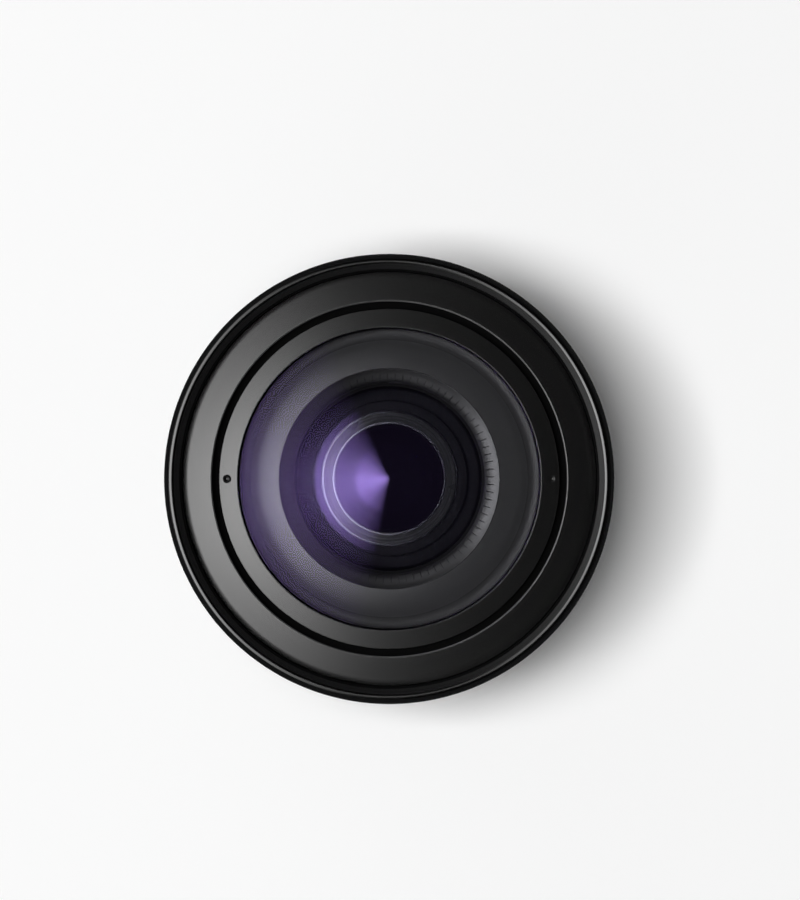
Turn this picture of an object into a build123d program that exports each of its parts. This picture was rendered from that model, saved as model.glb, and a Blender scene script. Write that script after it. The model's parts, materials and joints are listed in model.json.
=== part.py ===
from build123d import *
import math
import os

# A macro zoom lens for an interchangeable-lens camera, standing on its bayonet with its front element up.
# The origin is the centre of the bayonet flange, where it meets the camera. +Z runs along the optical axis
# to the front, and the two spanner holes of the front retainer lie along X. The zoom ring is at its wide
# end, the focus ring at infinity, the iris open and both switches at their rear stops.
# Sizes are in millimetres. Radii grow from the optical axis outwards, heights from the flange forwards.

os.makedirs("parts", exist_ok=True)

# How far a cutter runs past what it cuts, and how close two points are that count as one
past = 1.0
point_match = 0.0001

# Front opening, as seen from the front
filter_thread_diameter = 77.0
filter_thread_pitch = 0.75
filter_thread_depth = 0.4
filter_thread_turns = 4
thread_land = 0.16
rim_wall = 2.7
rim_step_width = 0.75
rim_step_depth = 0.65
rim_lip_width = 1.3
rim_lip_height = 0.55
rim_lip_round = 0.5
thread_recess = 1.14
bezel_width = 5.58
bezel_thickness = 1.6
bezel_fall = 0.9
bezel_edge = 0.25
bezel_clearance = 0.05
front_groove_width = 1.22
front_groove_depth = 5.0
retainer_width = 3.3
retainer_thickness = 1.3
retainer_fall = 0.55
retainer_skirt = 0.9
retainer_skirt_height = 1.4
retainer_clearance = 0.03
retainer_edge = 0.2
spanner_hole_inset = 1.85
spanner_hole_radius = 0.8
spanner_hole_depth = 0.45
spanner_point_angle = 24

# Walls and gaps of the nested tubes, from the rim inwards
rim_overhang = 0.3
grip_thickness = 1.8
sleeve_wall = 1.2
ring_gap = 0.08
outer_wall = 1.1
tube_gap = 0.12
tube_wall = 1.0
cam_to_tube_gap = 0.9
cam_wall = 1.4
cam_gap = 0.08
guide_wall = 1.2
carriage_gap = 0.12

# Lengths along the axis, from the flange forwards
mount_thickness = 1.6
chassis_height = 8.4
guide_flange_thickness = 2.2
foot_thickness = 1.2
shell_bottom = 0.5
shell_length = 25.5
shell_cone_height = 8.5
ring_end_gap = 0.4
zoom_ring_length = 30.0
index_ring_length = 5.0
focus_ring_length = 22.0
collar_length = 3.4
collar_lip = 1.0
front_ring_length = 9.6

# Zoom cam
zoom_angle = 75.0
front_travel = 28.0
variator_travel = 12.0
relay_travel = 14.0
cam_rest_gap = 0.1
cam_drop = 0.9
front_roller_height = 18.5
front_slot_angle = 0.0
variator_slot_angle = 30.0
relay_slot_angle = -30.0
cam_end_margin = 4.0
roller_radius = 1.5
roller_clearance = 0.07
slot_end_relief = 0.05
slot_count = 3
cam_retainer_thickness = 1.2
cam_retainer_gap = 0.1
cam_retainer_split = 7.8
guide_lip = 0.8
key_height = 4.6
key_width = 5.0
key_thickness = 2.6
key_clearance = 0.25
key_count = 2
guide_step = 0.8

# Grips and sleeves
grip_end_band = 1.8
scale_band = 6.0
rib_count = 84
rib_depth = 0.6
rib_share = 0.58
grip_edge_width = 1.5
grip_edge_rise = 0.45
edge_round = 0.3

# Bayonet
flange_radius = 32.5
throat_radius = 22.5
spigot_wall = 1.5
spigot_depth = 5.2
claw_height = 1.6
claw_projection = 1.6
claw_count = 4
claw_angle = 44.0
claw_rise = 1.7
flange_relief_width = 0.8
flange_relief_depth = 0.3
mount_screw_count = 4
mount_screw_start_angle = 22.0
screw_head_radius = 1.5
screw_head_height = 0.9
screw_head_round = 0.3
screw_recess_margin = 0.5
screw_recess_width = 0.4
screw_recess_depth = 0.45
screw_shank_radius = 0.8
screw_hole_clearance = 0.12
screw_sink = 0.15
mount_screw_length = 4.2
lock_slot_length = 3.6
lock_slot_width = 2.0
lock_slot_depth = 1.0
lock_slot_angle = 90.0
seal_width = 1.3
seal_lip = 0.35
shell_wall = 1.4
shell_gap = 0.38
seat_rib_height = 1.8

# Contacts and rear light baffle
contact_middle_angle = -90.0
contact_block_width = 4.1
contact_block_angle = 104.0
contact_block_bottom = -4.6
contact_block_top = 0.8
contact_count = 10
contact_radius = 0.75
contact_proud = 0.15
contact_depth = 1.2
contact_step_angle = 9.6
baffle_bottom = -3.0
baffle_thickness = 1.0
baffle_opening_width = 30.0
baffle_opening_height = 20.0
baffle_corner = 3.0

# Chassis and board
chassis_wall = 1.6
chassis_inset = 0.3
chassis_floor = 2.0
chassis_flange_thickness = 1.6
board_ledge_width = 2.2
board_ledge_height = 2.0
board_thickness = 1.2
board_bore_radius = 20.5
board_gap = 0.2
chip_height = 1.1
chip_size = 5.5
chip_count = 5
chip_start_angle = -90.0
guide_screw_count = 6
guide_screw_start_angle = 15.0
guide_screw_length = 4.0
guide_screw_head_radius = 1.2

# Rear group
rear_cell_wall = 2.0
rear_cell_bottom = -1.2
rear_cell_height = 8.0
rear_cell_flange = 2.0
rear_cell_flange_thickness = 1.4
rear_cell_lip = 1.2
rear_lens_radius = 14.5
rear_lens_front_curve = 60.0
rear_lens_back_curve = 45.0
rear_lens_thickness = 5.6

# Focus group, on two rods and a lead screw
focus_frame_gap = 0.4
focus_frame_plate = 1.8
focus_frame_top_plate = 1.4
focus_frame_bore = 18.0
focus_pillar_count = 3
focus_pillar_start_angle = 45.0
focus_pillar_width = 4.0
focus_pillar_depth = 1.8
rod_count = 2
rod_radius = 1.0
rod_circle = 25.0
rod_clearance = 0.05
rod_boss_radius = 2.4
lead_screw_radius = 1.2
lead_screw_groove = 0.25
lead_screw_pitch = 0.9
spindle_cover = 0.5
spindle_end_gap = 0.2
motor_radius = 4.0
motor_gap = 0.3
motor_shaft_depth = 4.8
focus_cell_height = 6.0
focus_cell_gap = 0.3
focus_cell_wall = 4.0
focus_travel = 9.0
focus_lens_radius = 13.0
focus_lens_curve = 40.0
focus_lens_back_curve = 160.0
focus_lens_lip = 1.5
focus_lens_thickness = 4.2
focus_arm_height = 3.0
focus_arm_width = 3.2

# Relay group and iris
relay_ring_below = 3.0
relay_ring_height = 8.0
carriage_ring_wall = 1.6
relay_web = 2.0
relay_cell_wall = 2.0
relay_cell_height = 12.5
relay_lens_radius = 14.0
relay_lens_curve = 38.0
relay_lens_back_curve = 114.0
relay_lens_thickness = 9.0
relay_lip = 1.6
iris_gap = 4.0
iris_plate = 1.0
iris_open_radius = 12.2
iris_radius = 24.0
iris_wall = 1.5
iris_height = 5.0
blade_count = 7
blade_thickness = 0.12
blade_pitch = 0.22
blade_width = 4.6
blade_span_angle = 78.0
blade_setback = 0.2
blade_floor_gap = 0.1
pivot_circle = 18.5
pivot_radius = 0.45
pivot_hole_clearance = 0.06
pivot_ear = 1.5
pivot_tip_gap = 0.25
drive_arm = 4.0
drive_pin_radius = 0.5
drive_ear = 1.0
drive_slot_clearance = 0.14
iris_ring_gap = 0.2
iris_ring_thickness = 1.0
iris_ring_bore = 17.2
iris_cover_thickness = 0.7
iris_angle = 40.0
blade_angle = 30.0

# Variator group
variator_ring_height = 8.0
variator_web = 2.0
variator_cell_below = 5.5
variator_cell_height = 9.0
variator_lens_radius = 12.8
variator_cell_wall = 1.8
variator_front_gap = 5.6
variator_lens_curve = 60.0
variator_lens_back_curve = 34.0
variator_lens_thickness = 3.0
variator_lip = 1.6
variator_lip_height = 1.6
variator_retainer_width = 2.4
variator_retainer_edge = 0.2
variator_groove = 0.15
variator_groove_count = 2
variator_groove_inset = 0.8
variator_groove_spacing = 0.55

# Front group
front_lens_recess = 3.8
front_lens_curve = 160.0
front_lens_back_curve = 260.0
front_lens_thickness = 6.5
front_lens_overlap = 0.9
front_seat_width = 1.3
front_cell_wall = 1.6
front_shelf_depth = 3.4
front_shelf_fall = 0.9
front_cove = 1.8
shelf_inner_radius = 20.45
inner_retainer_height = 3.0
inner_retainer_bore = 17.1
inner_retainer_drop = 0.2
mouth_reach_share = 0.62
mouth_height_share = 0.72
inner_lens_overlap = 0.9
second_lens_curve = 76.0
second_lens_thickness = 3.6
cement_curve = 120.0
third_lens_thickness = 1.8
inner_cell_wall = 2.6
inner_lip = 1.4
inner_lip_height = 1.2
front_web = 1.0
front_web_width = 4.7
tube_below_roller = 4.0

# Switch panel
panel_angle = 180.0
panel_half_angle = 27.0
panel_height = 11.0
panel_rise = 0.2
panel_thickness = 0.7
panel_sink = 0.5
switch_spread_angle = 12.5
switch_travel = 3.0
switch_slot_width = 2.4
switch_stem_width = 2.0
switch_stem_height = 2.6
switch_slot_end_gap = 0.25
switch_cap_width = 4.6
switch_cap_height = 4.4
switch_cap_depth = 1.1
switch_cap_gap = 0.12
switch_cap_edge = 0.24
switch_groove_count = 3
switch_groove_depth = 0.24
switch_groove_width = 0.37
switch_block_depth = 2.6
switch_block_margin = 1.2


def sag(curve, radius):
    """How far a spherical surface of a signed radius of curvature falls back at a distance from the axis."""
    return curve - math.copysign(math.sqrt(curve * curve - radius * radius), curve)


# Radii that follow from the walls and gaps
thread_root_radius = filter_thread_diameter / 2
thread_crest_radius = thread_root_radius - filter_thread_depth
rim_radius = thread_root_radius + rim_wall
grip_radius = rim_radius - rim_overhang
sleeve_radius = grip_radius - grip_thickness
band_radius = grip_radius - rim_overhang
outer_radius = sleeve_radius - sleeve_wall - ring_gap
outer_bore = outer_radius - outer_wall
tube_radius = outer_bore - tube_gap
tube_bore = tube_radius - tube_wall
cam_radius = tube_bore - cam_to_tube_gap
cam_bore = cam_radius - cam_wall
guide_radius = cam_bore - cam_gap
guide_bore = guide_radius - guide_wall
carriage_radius = guide_bore - carriage_gap
bezel_bore = thread_crest_radius - bezel_width
retainer_radius = bezel_bore - front_groove_width
retainer_bore = retainer_radius - retainer_width
front_lens_radius = retainer_bore + front_lens_overlap
shell_bore = outer_radius + shell_gap
shell_radius = shell_bore + shell_wall
spigot_radius = throat_radius + spigot_wall
claw_radius = spigot_radius + claw_projection
relief_radius = claw_radius + flange_relief_width
mount_screw_circle = (relief_radius + flange_radius) / 2
chassis_wall_radius = flange_radius - chassis_inset
chassis_bore = chassis_wall_radius - chassis_wall
guide_base_radius = guide_radius + guide_step
guide_screw_circle = (guide_base_radius + cam_gap + outer_bore) / 2
snap_radius = guide_radius - guide_wall / 2
second_lens_radius = inner_retainer_bore + inner_lens_overlap
variator_aperture = variator_lens_radius - variator_retainer_width
relay_cell_radius = relay_lens_radius + relay_cell_wall
focus_cell_radius = focus_lens_radius + focus_cell_wall
rear_cell_radius = rear_lens_radius + rear_cell_wall
spanner_hole_circle = retainer_bore + spanner_hole_inset

# Heights that follow from the lengths, from the flange up to the rim
chassis_top = mount_thickness + chassis_height
chassis_floor_top = mount_thickness + chassis_floor
guide_flange_top = chassis_top + guide_flange_thickness
foot_top = guide_flange_top + foot_thickness
shell_top = shell_bottom + shell_length
zoom_bottom = shell_top + ring_end_gap
zoom_top = zoom_bottom + zoom_ring_length
index_bottom = zoom_top + ring_end_gap
index_top = index_bottom + index_ring_length
focus_bottom = index_top + ring_end_gap
focus_top = focus_bottom + focus_ring_length
collar_bottom = focus_top + ring_end_gap
collar_top = collar_bottom + collar_length
outer_top = collar_top - collar_lip
front_bottom = collar_top + ring_end_gap
rim_top = front_bottom + front_ring_length
thread_top = rim_top - thread_recess
thread_bottom = thread_top - (filter_thread_turns - 1) * filter_thread_pitch - thread_land
bezel_top = thread_bottom - bezel_edge
bezel_bottom = bezel_top - bezel_thickness
web_bottom = bezel_bottom - front_web
panel_bottom = foot_top + panel_rise
switch_rest = panel_bottom + (panel_height - switch_travel) / 2

# Heights of the front group, from its front element back
front_lens_vertex = rim_top - front_lens_recess
retainer_bottom = front_lens_vertex - sag(front_lens_curve, retainer_bore)
front_lens_seat = front_lens_vertex - front_lens_thickness - sag(front_lens_back_curve, front_lens_radius)
shelf_top = front_lens_seat - front_shelf_depth
inner_retainer_top = shelf_top - inner_retainer_drop
inner_retainer_bottom = inner_retainer_top - inner_retainer_height
second_lens_vertex = inner_retainer_bottom + sag(second_lens_curve, inner_retainer_bore)
second_lens_back = second_lens_vertex - second_lens_thickness - sag(cement_curve, second_lens_radius)
third_lens_back = second_lens_back - third_lens_thickness
inner_cell_bottom = third_lens_back - inner_lip_height

# Heights of the groups behind it at rest, each from the one before
variator_cell_top = inner_cell_bottom - variator_front_gap
variator_cell_bottom = variator_cell_top - variator_cell_height
variator_lens_seat = variator_cell_bottom + variator_lip_height
variator_roller = variator_cell_bottom + variator_cell_below
iris_bottom = variator_cell_bottom - iris_gap - iris_height
relay_cell_bottom = iris_bottom - relay_cell_height
relay_roller = relay_cell_bottom + relay_ring_below
focus_frame_top = relay_cell_bottom - focus_frame_gap
focus_frame_height = (focus_frame_plate + focus_cell_gap + focus_cell_height + focus_travel + focus_cell_gap
                      + focus_frame_top_plate)
focus_frame_bottom = focus_frame_top - focus_frame_height
focus_cell_bottom = focus_frame_bottom + focus_frame_plate + focus_cell_gap
motor_bottom = chassis_top + motor_gap
spindle_bottom = focus_frame_bottom - motor_shaft_depth + spindle_end_gap
spindle_top = focus_frame_top - spindle_cover - spindle_end_gap

# Heights of the cam
cam_bottom = zoom_bottom - cam_drop
key_middle = zoom_bottom + key_height
front_roller = cam_bottom + front_roller_height
cam_top = max(front_roller + front_travel, variator_roller + variator_travel) + cam_end_margin
guide_top = cam_top + cam_retainer_gap + cam_retainer_thickness + guide_lip


def ring(bore, radius, bottom, top):
    """A plain ring between two radii and two heights."""
    height = top - bottom
    blank = Cylinder(radius, height) - Cylinder(bore, height)
    return Pos(0, 0, (bottom + top) / 2) * blank


def rod(radius, bottom, top, x=0.0, y=0.0):
    """A round bar along Z."""
    return Pos(x, y, (bottom + top) / 2) * Cylinder(radius, top - bottom)


def turned(points):
    """A turned piece. A point is a radius and a height, then the radius of its corner's round, if any."""
    corners = [(p[0], p[1]) for p in points]
    face = make_face(Polyline(*corners, close=True))
    for corner_round in sorted({p[2] for p in points if len(p) > 2}):
        wanted = [Vector(p[0], p[1], 0) for p in points if len(p) > 2 and p[2] == corner_round]
        found = [v for v in face.vertices() if any((Vector(*v) - w).length < point_match for w in wanted)]
        face = fillet(found, corner_round)
    return revolve(Plane.XZ * face, Axis.Z)


def around(shape, count, start=0.0):
    """Copies of a shape, evenly spaced round the axis."""
    return [Rot(0, 0, start + i * 360.0 / count) * shape for i in range(count)]


def sector(bore, radius, bottom, top, middle, span):
    """A part of a ring that spans an angle about its middle direction."""
    section = Pos((bore + radius) / 2, (bottom + top) / 2) * Rectangle(radius - bore, top - bottom)
    return Rot(0, 0, middle - span / 2) * revolve(Plane.XZ * section, Axis.Z, span)


def lens(radius, seat_radius, seat, thickness, front_curve, back_curve):
    """A lens element that rests on a round seat. A curve is positive where its surface bulges outwards."""
    half_chord = radius / 2
    back = seat - sag(back_curve, seat_radius)
    front = back + thickness
    front_edge = front - sag(front_curve, radius)
    back_edge = back + sag(back_curve, radius)
    outline = [
        ThreePointArc((0, front), (half_chord, front - sag(front_curve, half_chord)), (radius, front_edge)),
        Line((radius, front_edge), (radius, back_edge)),
        ThreePointArc((radius, back_edge), (half_chord, back + sag(back_curve, half_chord)), (0, back)),
        Line((0, back), (0, front)),
    ]
    return revolve(Plane.XZ * make_face(outline), Axis.Z)


def screw(head_radius, length):
    """A pan-head screw with a cross recess, its shank pointing down from a head that sits on height 0."""
    head = turned([(0, 0), (head_radius, 0), (head_radius, screw_head_height, screw_head_round),
                   (0, screw_head_height)])
    arm_length = 2 * (head_radius - screw_recess_margin)
    arm = Box(arm_length, screw_recess_width, 2 * screw_recess_depth)
    recess = Pos(0, 0, screw_head_height) * (arm + Rot(0, 0, 90) * arm)
    return head - recess + rod(screw_shank_radius, -length, 0)


def helical_slot(bore, radius, bottom, travel, turn, width):
    """Cutters for a cam slot that climbs as it turns clockwise, seen from the front."""
    middle = (bore + radius) / 2
    depth = radius - bore + 2 * past
    path = Pos(0, 0, bottom) * Helix(travel * 360.0 / turn, travel, middle, lefthand=True)
    start = Plane(origin=path @ 0, x_dir=(1, 0, 0), z_dir=path % 0)
    groove = sweep(start * Rectangle(depth, width), path, is_frenet=True)
    end = Pos(middle, 0, 0) * Rot(0, 90, 0) * Cylinder(width / 2 + slot_end_relief, depth)
    return [groove, Pos(0, 0, bottom) * end, Pos(0, 0, bottom + travel) * Rot(0, 0, -turn) * end]


def straight_slot(bore, radius, bottom, travel, width):
    """A cutter for a slot along the axis through a tube's wall, in direction X."""
    outline = Plane.YZ * Rot(0, 0, 90) * SlotCenterToCenter(travel, width)
    slot = extrude(outline, (radius - bore) / 2 + past, both=True)
    return Pos((bore + radius) / 2, 0, bottom + travel / 2) * slot


def radial_pin(radius, near, far, height):
    """A round pin along X, between two distances from the axis."""
    return Pos((near + far) / 2, 0, height) * Rot(0, 90, 0) * Cylinder(radius, far - near)


def screw_holes(circle, bottom, top, count, start):
    """Cutters for clearance holes on a circle."""
    hole = rod(screw_shank_radius + screw_hole_clearance, bottom - past, top + past, circle)
    return around(hole, count, start)


def mount_plate():
    """The bayonet: flange, spigot and claws, with the slot for the camera's lock pin."""
    flange = turned([
        (throat_radius, mount_thickness), (flange_radius, mount_thickness),
        (flange_radius, 0, edge_round / 2), (relief_radius, 0), (relief_radius, flange_relief_depth),
        (spigot_radius, flange_relief_depth), (spigot_radius, -spigot_depth, edge_round),
        (throat_radius, -spigot_depth, edge_round),
    ])
    claw_bottom = claw_rise - spigot_depth
    claw_top = claw_bottom + claw_height
    claw = sector(spigot_radius - spigot_wall / 2, claw_radius, claw_bottom, claw_top, 0, claw_angle)
    sink_radius = screw_head_radius + screw_hole_clearance
    sink = rod(sink_radius, -past, screw_sink + screw_head_height, mount_screw_circle)
    lock_outline = Rot(0, 0, 90) * SlotOverall(lock_slot_length, lock_slot_width)
    lock_slot = Pos(mount_screw_circle, 0, 0) * extrude(lock_outline, lock_slot_depth, both=True)
    body = flange + around(claw, claw_count) - around(sink, mount_screw_count, mount_screw_start_angle)
    holes = screw_holes(mount_screw_circle, 0, mount_thickness, mount_screw_count, mount_screw_start_angle)
    return body - holes - Rot(0, 0, lock_slot_angle) * lock_slot


def mount_screws():
    one = Pos(mount_screw_circle, 0, screw_sink + screw_head_height) * Rot(180, 0, 0) * screw(
        screw_head_radius, mount_screw_length)
    return around(one, mount_screw_count, mount_screw_start_angle)


def mount_seal():
    """The rubber lip round the flange that keeps dust and splashes out."""
    return turned([(flange_radius, shell_bottom), (flange_radius + seal_width, shell_bottom),
                   (flange_radius + seal_width, -seal_lip, seal_lip / 2), (flange_radius, -seal_lip / 2)])


def contact_block():
    """The plastic arc in the throat that holds the contacts."""
    return sector(throat_radius - contact_block_width, throat_radius, contact_block_bottom, contact_block_top,
                  contact_middle_angle, contact_block_angle)


def contact_pins():
    """The row of contacts, let into the rear face of their block."""
    middle = throat_radius - contact_block_width / 2
    pin_bottom = contact_block_bottom - contact_proud
    pin = rod(contact_radius, pin_bottom, contact_block_bottom + contact_depth, middle)
    first = contact_middle_angle - contact_step_angle * (contact_count - 1) / 2
    return [Rot(0, 0, first + i * contact_step_angle) * pin for i in range(contact_count)]


def rear_baffle():
    """The plate with an oblong window that shades the rear element."""
    top = baffle_bottom + baffle_thickness
    outline = RectangleRounded(baffle_opening_width, baffle_opening_height, baffle_corner)
    cut = extrude(outline, baffle_thickness + past, both=True)
    window = Pos(0, contact_block_width / 2, baffle_bottom) * cut
    return rod(throat_radius, baffle_bottom, top) - window - contact_block()


def chassis():
    """The rear frame that joins the bayonet, the shell and the guide barrel, and carries the board."""
    flange_bottom = chassis_top - chassis_flange_thickness
    ledge_top = chassis_floor_top + board_ledge_height
    ledge_bore = chassis_bore - board_ledge_width
    body = turned([
        (rear_cell_radius, mount_thickness), (chassis_wall_radius, mount_thickness),
        (chassis_wall_radius, flange_bottom), (outer_bore, flange_bottom), (outer_bore, chassis_top),
        (chassis_bore, chassis_top), (chassis_bore, ledge_top), (ledge_bore, ledge_top),
        (ledge_bore, chassis_floor_top), (rear_cell_radius, chassis_floor_top),
    ])
    mount_tap_top = screw_sink + screw_head_height + mount_screw_length
    mount_tap = rod(screw_shank_radius, mount_thickness, mount_tap_top, mount_screw_circle)
    guide_tap = rod(screw_shank_radius, foot_top - guide_screw_length, chassis_top, guide_screw_circle)
    body = body - around(mount_tap, mount_screw_count, mount_screw_start_angle)
    return body - around(guide_tap, guide_screw_count, guide_screw_start_angle)


def main_board():
    """The circuit board, on its ledge, with the chips in a ring on its front."""
    bottom = chassis_floor_top + board_ledge_height
    top = bottom + board_thickness
    plate = ring(board_bore_radius, chassis_bore - board_gap, bottom, top)
    middle = (board_bore_radius + chassis_bore) / 2
    chip = Pos(middle, 0, top + chip_height / 2) * Box(chip_size, chip_size, chip_height)
    return plate + around(chip, chip_count, chip_start_angle)


def rear_shell():
    """The fixed rear barrel: a cone up from the bayonet, then the plain part that holds the switches."""
    cone_top = shell_bottom + shell_cone_height
    rib_bottom = chassis_top + (guide_flange_thickness - seat_rib_height) / 2
    rib_top = rib_bottom + seat_rib_height
    body = turned([
        (flange_radius, shell_bottom), (flange_radius + shell_wall, shell_bottom, edge_round),
        (shell_radius, cone_top), (shell_radius, shell_top, edge_round), (shell_bore, shell_top),
        (shell_bore, rib_top), (outer_radius, rib_top), (outer_radius, rib_bottom), (shell_bore, rib_bottom),
        (shell_bore, cone_top), (flange_radius, mount_thickness),
    ])
    recess = sector(shell_radius - panel_sink, shell_radius + panel_thickness, panel_bottom,
                    panel_bottom + panel_height, panel_angle, 2 * panel_half_angle)
    return body - recess - switch_cuts(switch_stem_width + 2 * switch_block_margin, switch_block_margin)


def switch_cuts(width, margin):
    """Cutters for the stems of both switches over their travel, through the walls of both fixed barrels."""
    near = outer_bore - past
    far = shell_radius + past
    height = switch_travel + switch_stem_height + 2 * margin
    cut = Pos((near + far) / 2, 0, switch_rest + switch_travel / 2) * Box(far - near, width, height)
    return [Rot(0, 0, panel_angle + side * switch_spread_angle) * cut for side in (-1, 1)]


def switch_panel():
    """The curved plate that both switches slide in."""
    plate = sector(shell_radius - panel_sink, shell_radius - panel_sink + panel_thickness, panel_bottom,
                   panel_bottom + panel_height, panel_angle, 2 * panel_half_angle)
    return plate - switch_cuts(switch_slot_width, switch_slot_end_gap)


def switch_knob(side):
    """A switch: a ribbed cap outside the panel, and a stem that passes through its slot."""
    face = shell_radius - panel_sink + panel_thickness + switch_cap_gap
    stem_foot = outer_radius - outer_wall / 2
    cap = Pos(face + switch_cap_depth / 2, 0, 0) * Box(switch_cap_depth, switch_cap_width, switch_cap_height)
    cap = chamfer(cap.faces().sort_by(Axis.X)[-1].edges(), switch_cap_edge)
    step = switch_cap_height / (switch_groove_count + 1)
    groove = Box(2 * switch_groove_depth, switch_cap_width + past, switch_groove_width)
    first = step - switch_cap_height / 2
    groove_heights = [first + i * step for i in range(switch_groove_count)]
    cap = cap - [Pos(face + switch_cap_depth, 0, height) * groove for height in groove_heights]
    stem = Pos((stem_foot + face) / 2, 0, 0) * Box(face - stem_foot, switch_stem_width, switch_stem_height)
    return Rot(0, 0, panel_angle + side * switch_spread_angle) * Pos(0, 0, switch_rest) * (cap + stem)


def switch_block():
    """The two slide-switch housings behind the panel, set in windows of the outer barrel."""
    far = outer_radius - outer_wall / 2 - switch_slot_end_gap
    height = switch_travel + switch_stem_height + 2 * switch_block_margin
    width = switch_stem_width + 2 * switch_block_margin
    block = Pos(far - switch_block_depth / 2, 0, switch_rest + switch_travel / 2) * Box(
        switch_block_depth, width, height)
    return [Rot(0, 0, panel_angle + side * switch_spread_angle) * block for side in (-1, 1)]


def cam_tracks():
    """The three sets of slots: the direction, the roller's rest height and the travel of each."""
    return (
        (front_slot_angle, front_roller, front_travel),
        (variator_slot_angle, variator_roller, variator_travel),
        (relay_slot_angle, relay_roller, relay_travel),
    )


def guide_barrel():
    """The fixed inner tube, whose straight slots stop the three moving groups from turning."""
    groove_bottom = cam_top + cam_retainer_gap
    body = turned([
        (guide_bore, chassis_top), (outer_radius, chassis_top), (outer_radius, guide_flange_top),
        (guide_base_radius, guide_flange_top), (guide_base_radius, cam_bottom - cam_rest_gap),
        (guide_radius, cam_bottom - cam_rest_gap), (guide_radius, guide_top), (guide_bore, guide_top),
    ])
    width = 2 * (roller_radius + roller_clearance)
    for angle, bottom, travel in cam_tracks():
        slot = straight_slot(guide_bore, guide_radius, bottom, travel, width)
        body = body - around(slot, slot_count, angle)
    body = body - screw_holes(guide_screw_circle, chassis_top, guide_flange_top, guide_screw_count,
                              guide_screw_start_angle)
    groove_top = groove_bottom + cam_retainer_thickness
    return body - ring(snap_radius, guide_radius + past, groove_bottom, groove_top)


def guide_screws():
    one = Pos(guide_screw_circle, 0, foot_top) * screw(guide_screw_head_radius, guide_screw_length)
    return around(one, guide_screw_count, guide_screw_start_angle)


def cam_retainer():
    """The split snap ring that holds the cam barrel on the guide barrel."""
    bottom = cam_top + cam_retainer_gap
    top = bottom + cam_retainer_thickness
    split_height = 2 * cam_retainer_thickness + past
    split = Pos(0, guide_radius, bottom) * Box(cam_retainer_split, guide_radius, split_height)
    return ring(snap_radius, cam_bore + cam_wall / 2, bottom, top) - split


def outer_barrel():
    """The fixed outer tube that both rings turn on, with a foot for its screws and arcs for the zoom keys."""
    foot_bore = guide_base_radius + cam_gap
    body = turned([
        (foot_bore, guide_flange_top), (outer_radius, guide_flange_top), (outer_radius, outer_top),
        (outer_bore, outer_top), (outer_bore, foot_top), (foot_bore, foot_top),
    ])
    key_span = 2 * math.degrees((key_width / 2 + key_clearance) / outer_bore)
    key_reach = key_thickness / 2 + key_clearance
    arc = sector(outer_bore - past, outer_radius + past, key_middle - key_reach, key_middle + key_reach,
                 zoom_angle / 2, zoom_angle + key_span)
    body = body - around(arc, key_count)
    body = body - screw_holes(guide_screw_circle, guide_flange_top, foot_top, guide_screw_count,
                              guide_screw_start_angle)
    return body - switch_cuts(switch_stem_width + 2 * switch_block_margin, switch_block_margin)


def index_ring():
    """The fixed ring between the zoom and focus rings, which carries the index line."""
    return turned([(outer_radius, index_bottom), (band_radius, index_bottom, edge_round),
                   (band_radius, index_top, edge_round), (outer_radius, index_top)])


def front_collar():
    """The fixed collar that closes the front of the outer barrel round the moving tube."""
    return turned([(outer_radius, collar_bottom), (band_radius, collar_bottom, edge_round),
                   (band_radius, collar_top, edge_round), (outer_bore, collar_top, edge_round / 2),
                   (outer_bore, outer_top), (outer_radius, outer_top)])


def sleeve(bottom, top, grip_bottom, grip_top):
    """A ring's carrier: a thin sleeve under the grip, with a full-height band at each end."""
    bore = outer_radius + ring_gap
    return turned([
        (bore, bottom), (band_radius, bottom, edge_round), (band_radius, grip_bottom),
        (sleeve_radius, grip_bottom), (sleeve_radius, grip_top), (band_radius, grip_top),
        (band_radius, top, edge_round), (bore, top),
    ])


def ribbed_grip(bottom, top):
    """A rubber grip with straight ribs, between plain edges."""
    valley = grip_radius - rib_depth
    slope = (1 - rib_share) / 2
    outline = []
    for i in range(rib_count):
        for radius, share in ((valley, 0), (grip_radius, slope), (grip_radius, 1 - slope)):
            angle = 2 * math.pi * (i + share) / rib_count
            outline.append((radius * math.cos(angle), radius * math.sin(angle)))
    ribs = extrude(Pos(0, 0, bottom) * make_face(Polyline(*outline, close=True)), top - bottom)
    edges = [ring(sleeve_radius, valley + grip_edge_rise, z, z + grip_edge_width)
             for z in (bottom, top - grip_edge_width)]
    return ribs - rod(sleeve_radius, bottom - past, top + past) + edges


def zoom_sleeve():
    body = sleeve(zoom_bottom, zoom_top, zoom_bottom + grip_end_band, zoom_top - scale_band)
    return body - zoom_keys()


def zoom_grip():
    return ribbed_grip(zoom_bottom + grip_end_band, zoom_top - scale_band)


def zoom_keys():
    """The keys that make the zoom ring and the cam barrel turn as one."""
    near = cam_bore + cam_wall / 2
    key = Pos((near + sleeve_radius) / 2, 0, key_middle) * Box(sleeve_radius - near, key_width, key_thickness)
    return around(key & rod(sleeve_radius, zoom_bottom, zoom_top), key_count)


def cam_barrel():
    """The turning tube, whose helical slots move the front, variator and relay groups."""
    tube = ring(cam_bore, cam_radius, cam_bottom, cam_top)
    width = 2 * (roller_radius + roller_clearance)
    for angle, bottom, travel in cam_tracks():
        for cutter in helical_slot(cam_bore, cam_radius, bottom, travel, zoom_angle, width):
            for copy in around(cutter, slot_count, angle):
                tube = tube - copy
    return tube - zoom_keys()


def focus_sleeve():
    return sleeve(focus_bottom, focus_top, focus_bottom + grip_end_band, focus_top - grip_end_band)


def focus_grip():
    return ribbed_grip(focus_bottom + grip_end_band, focus_top - grip_end_band)


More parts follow.
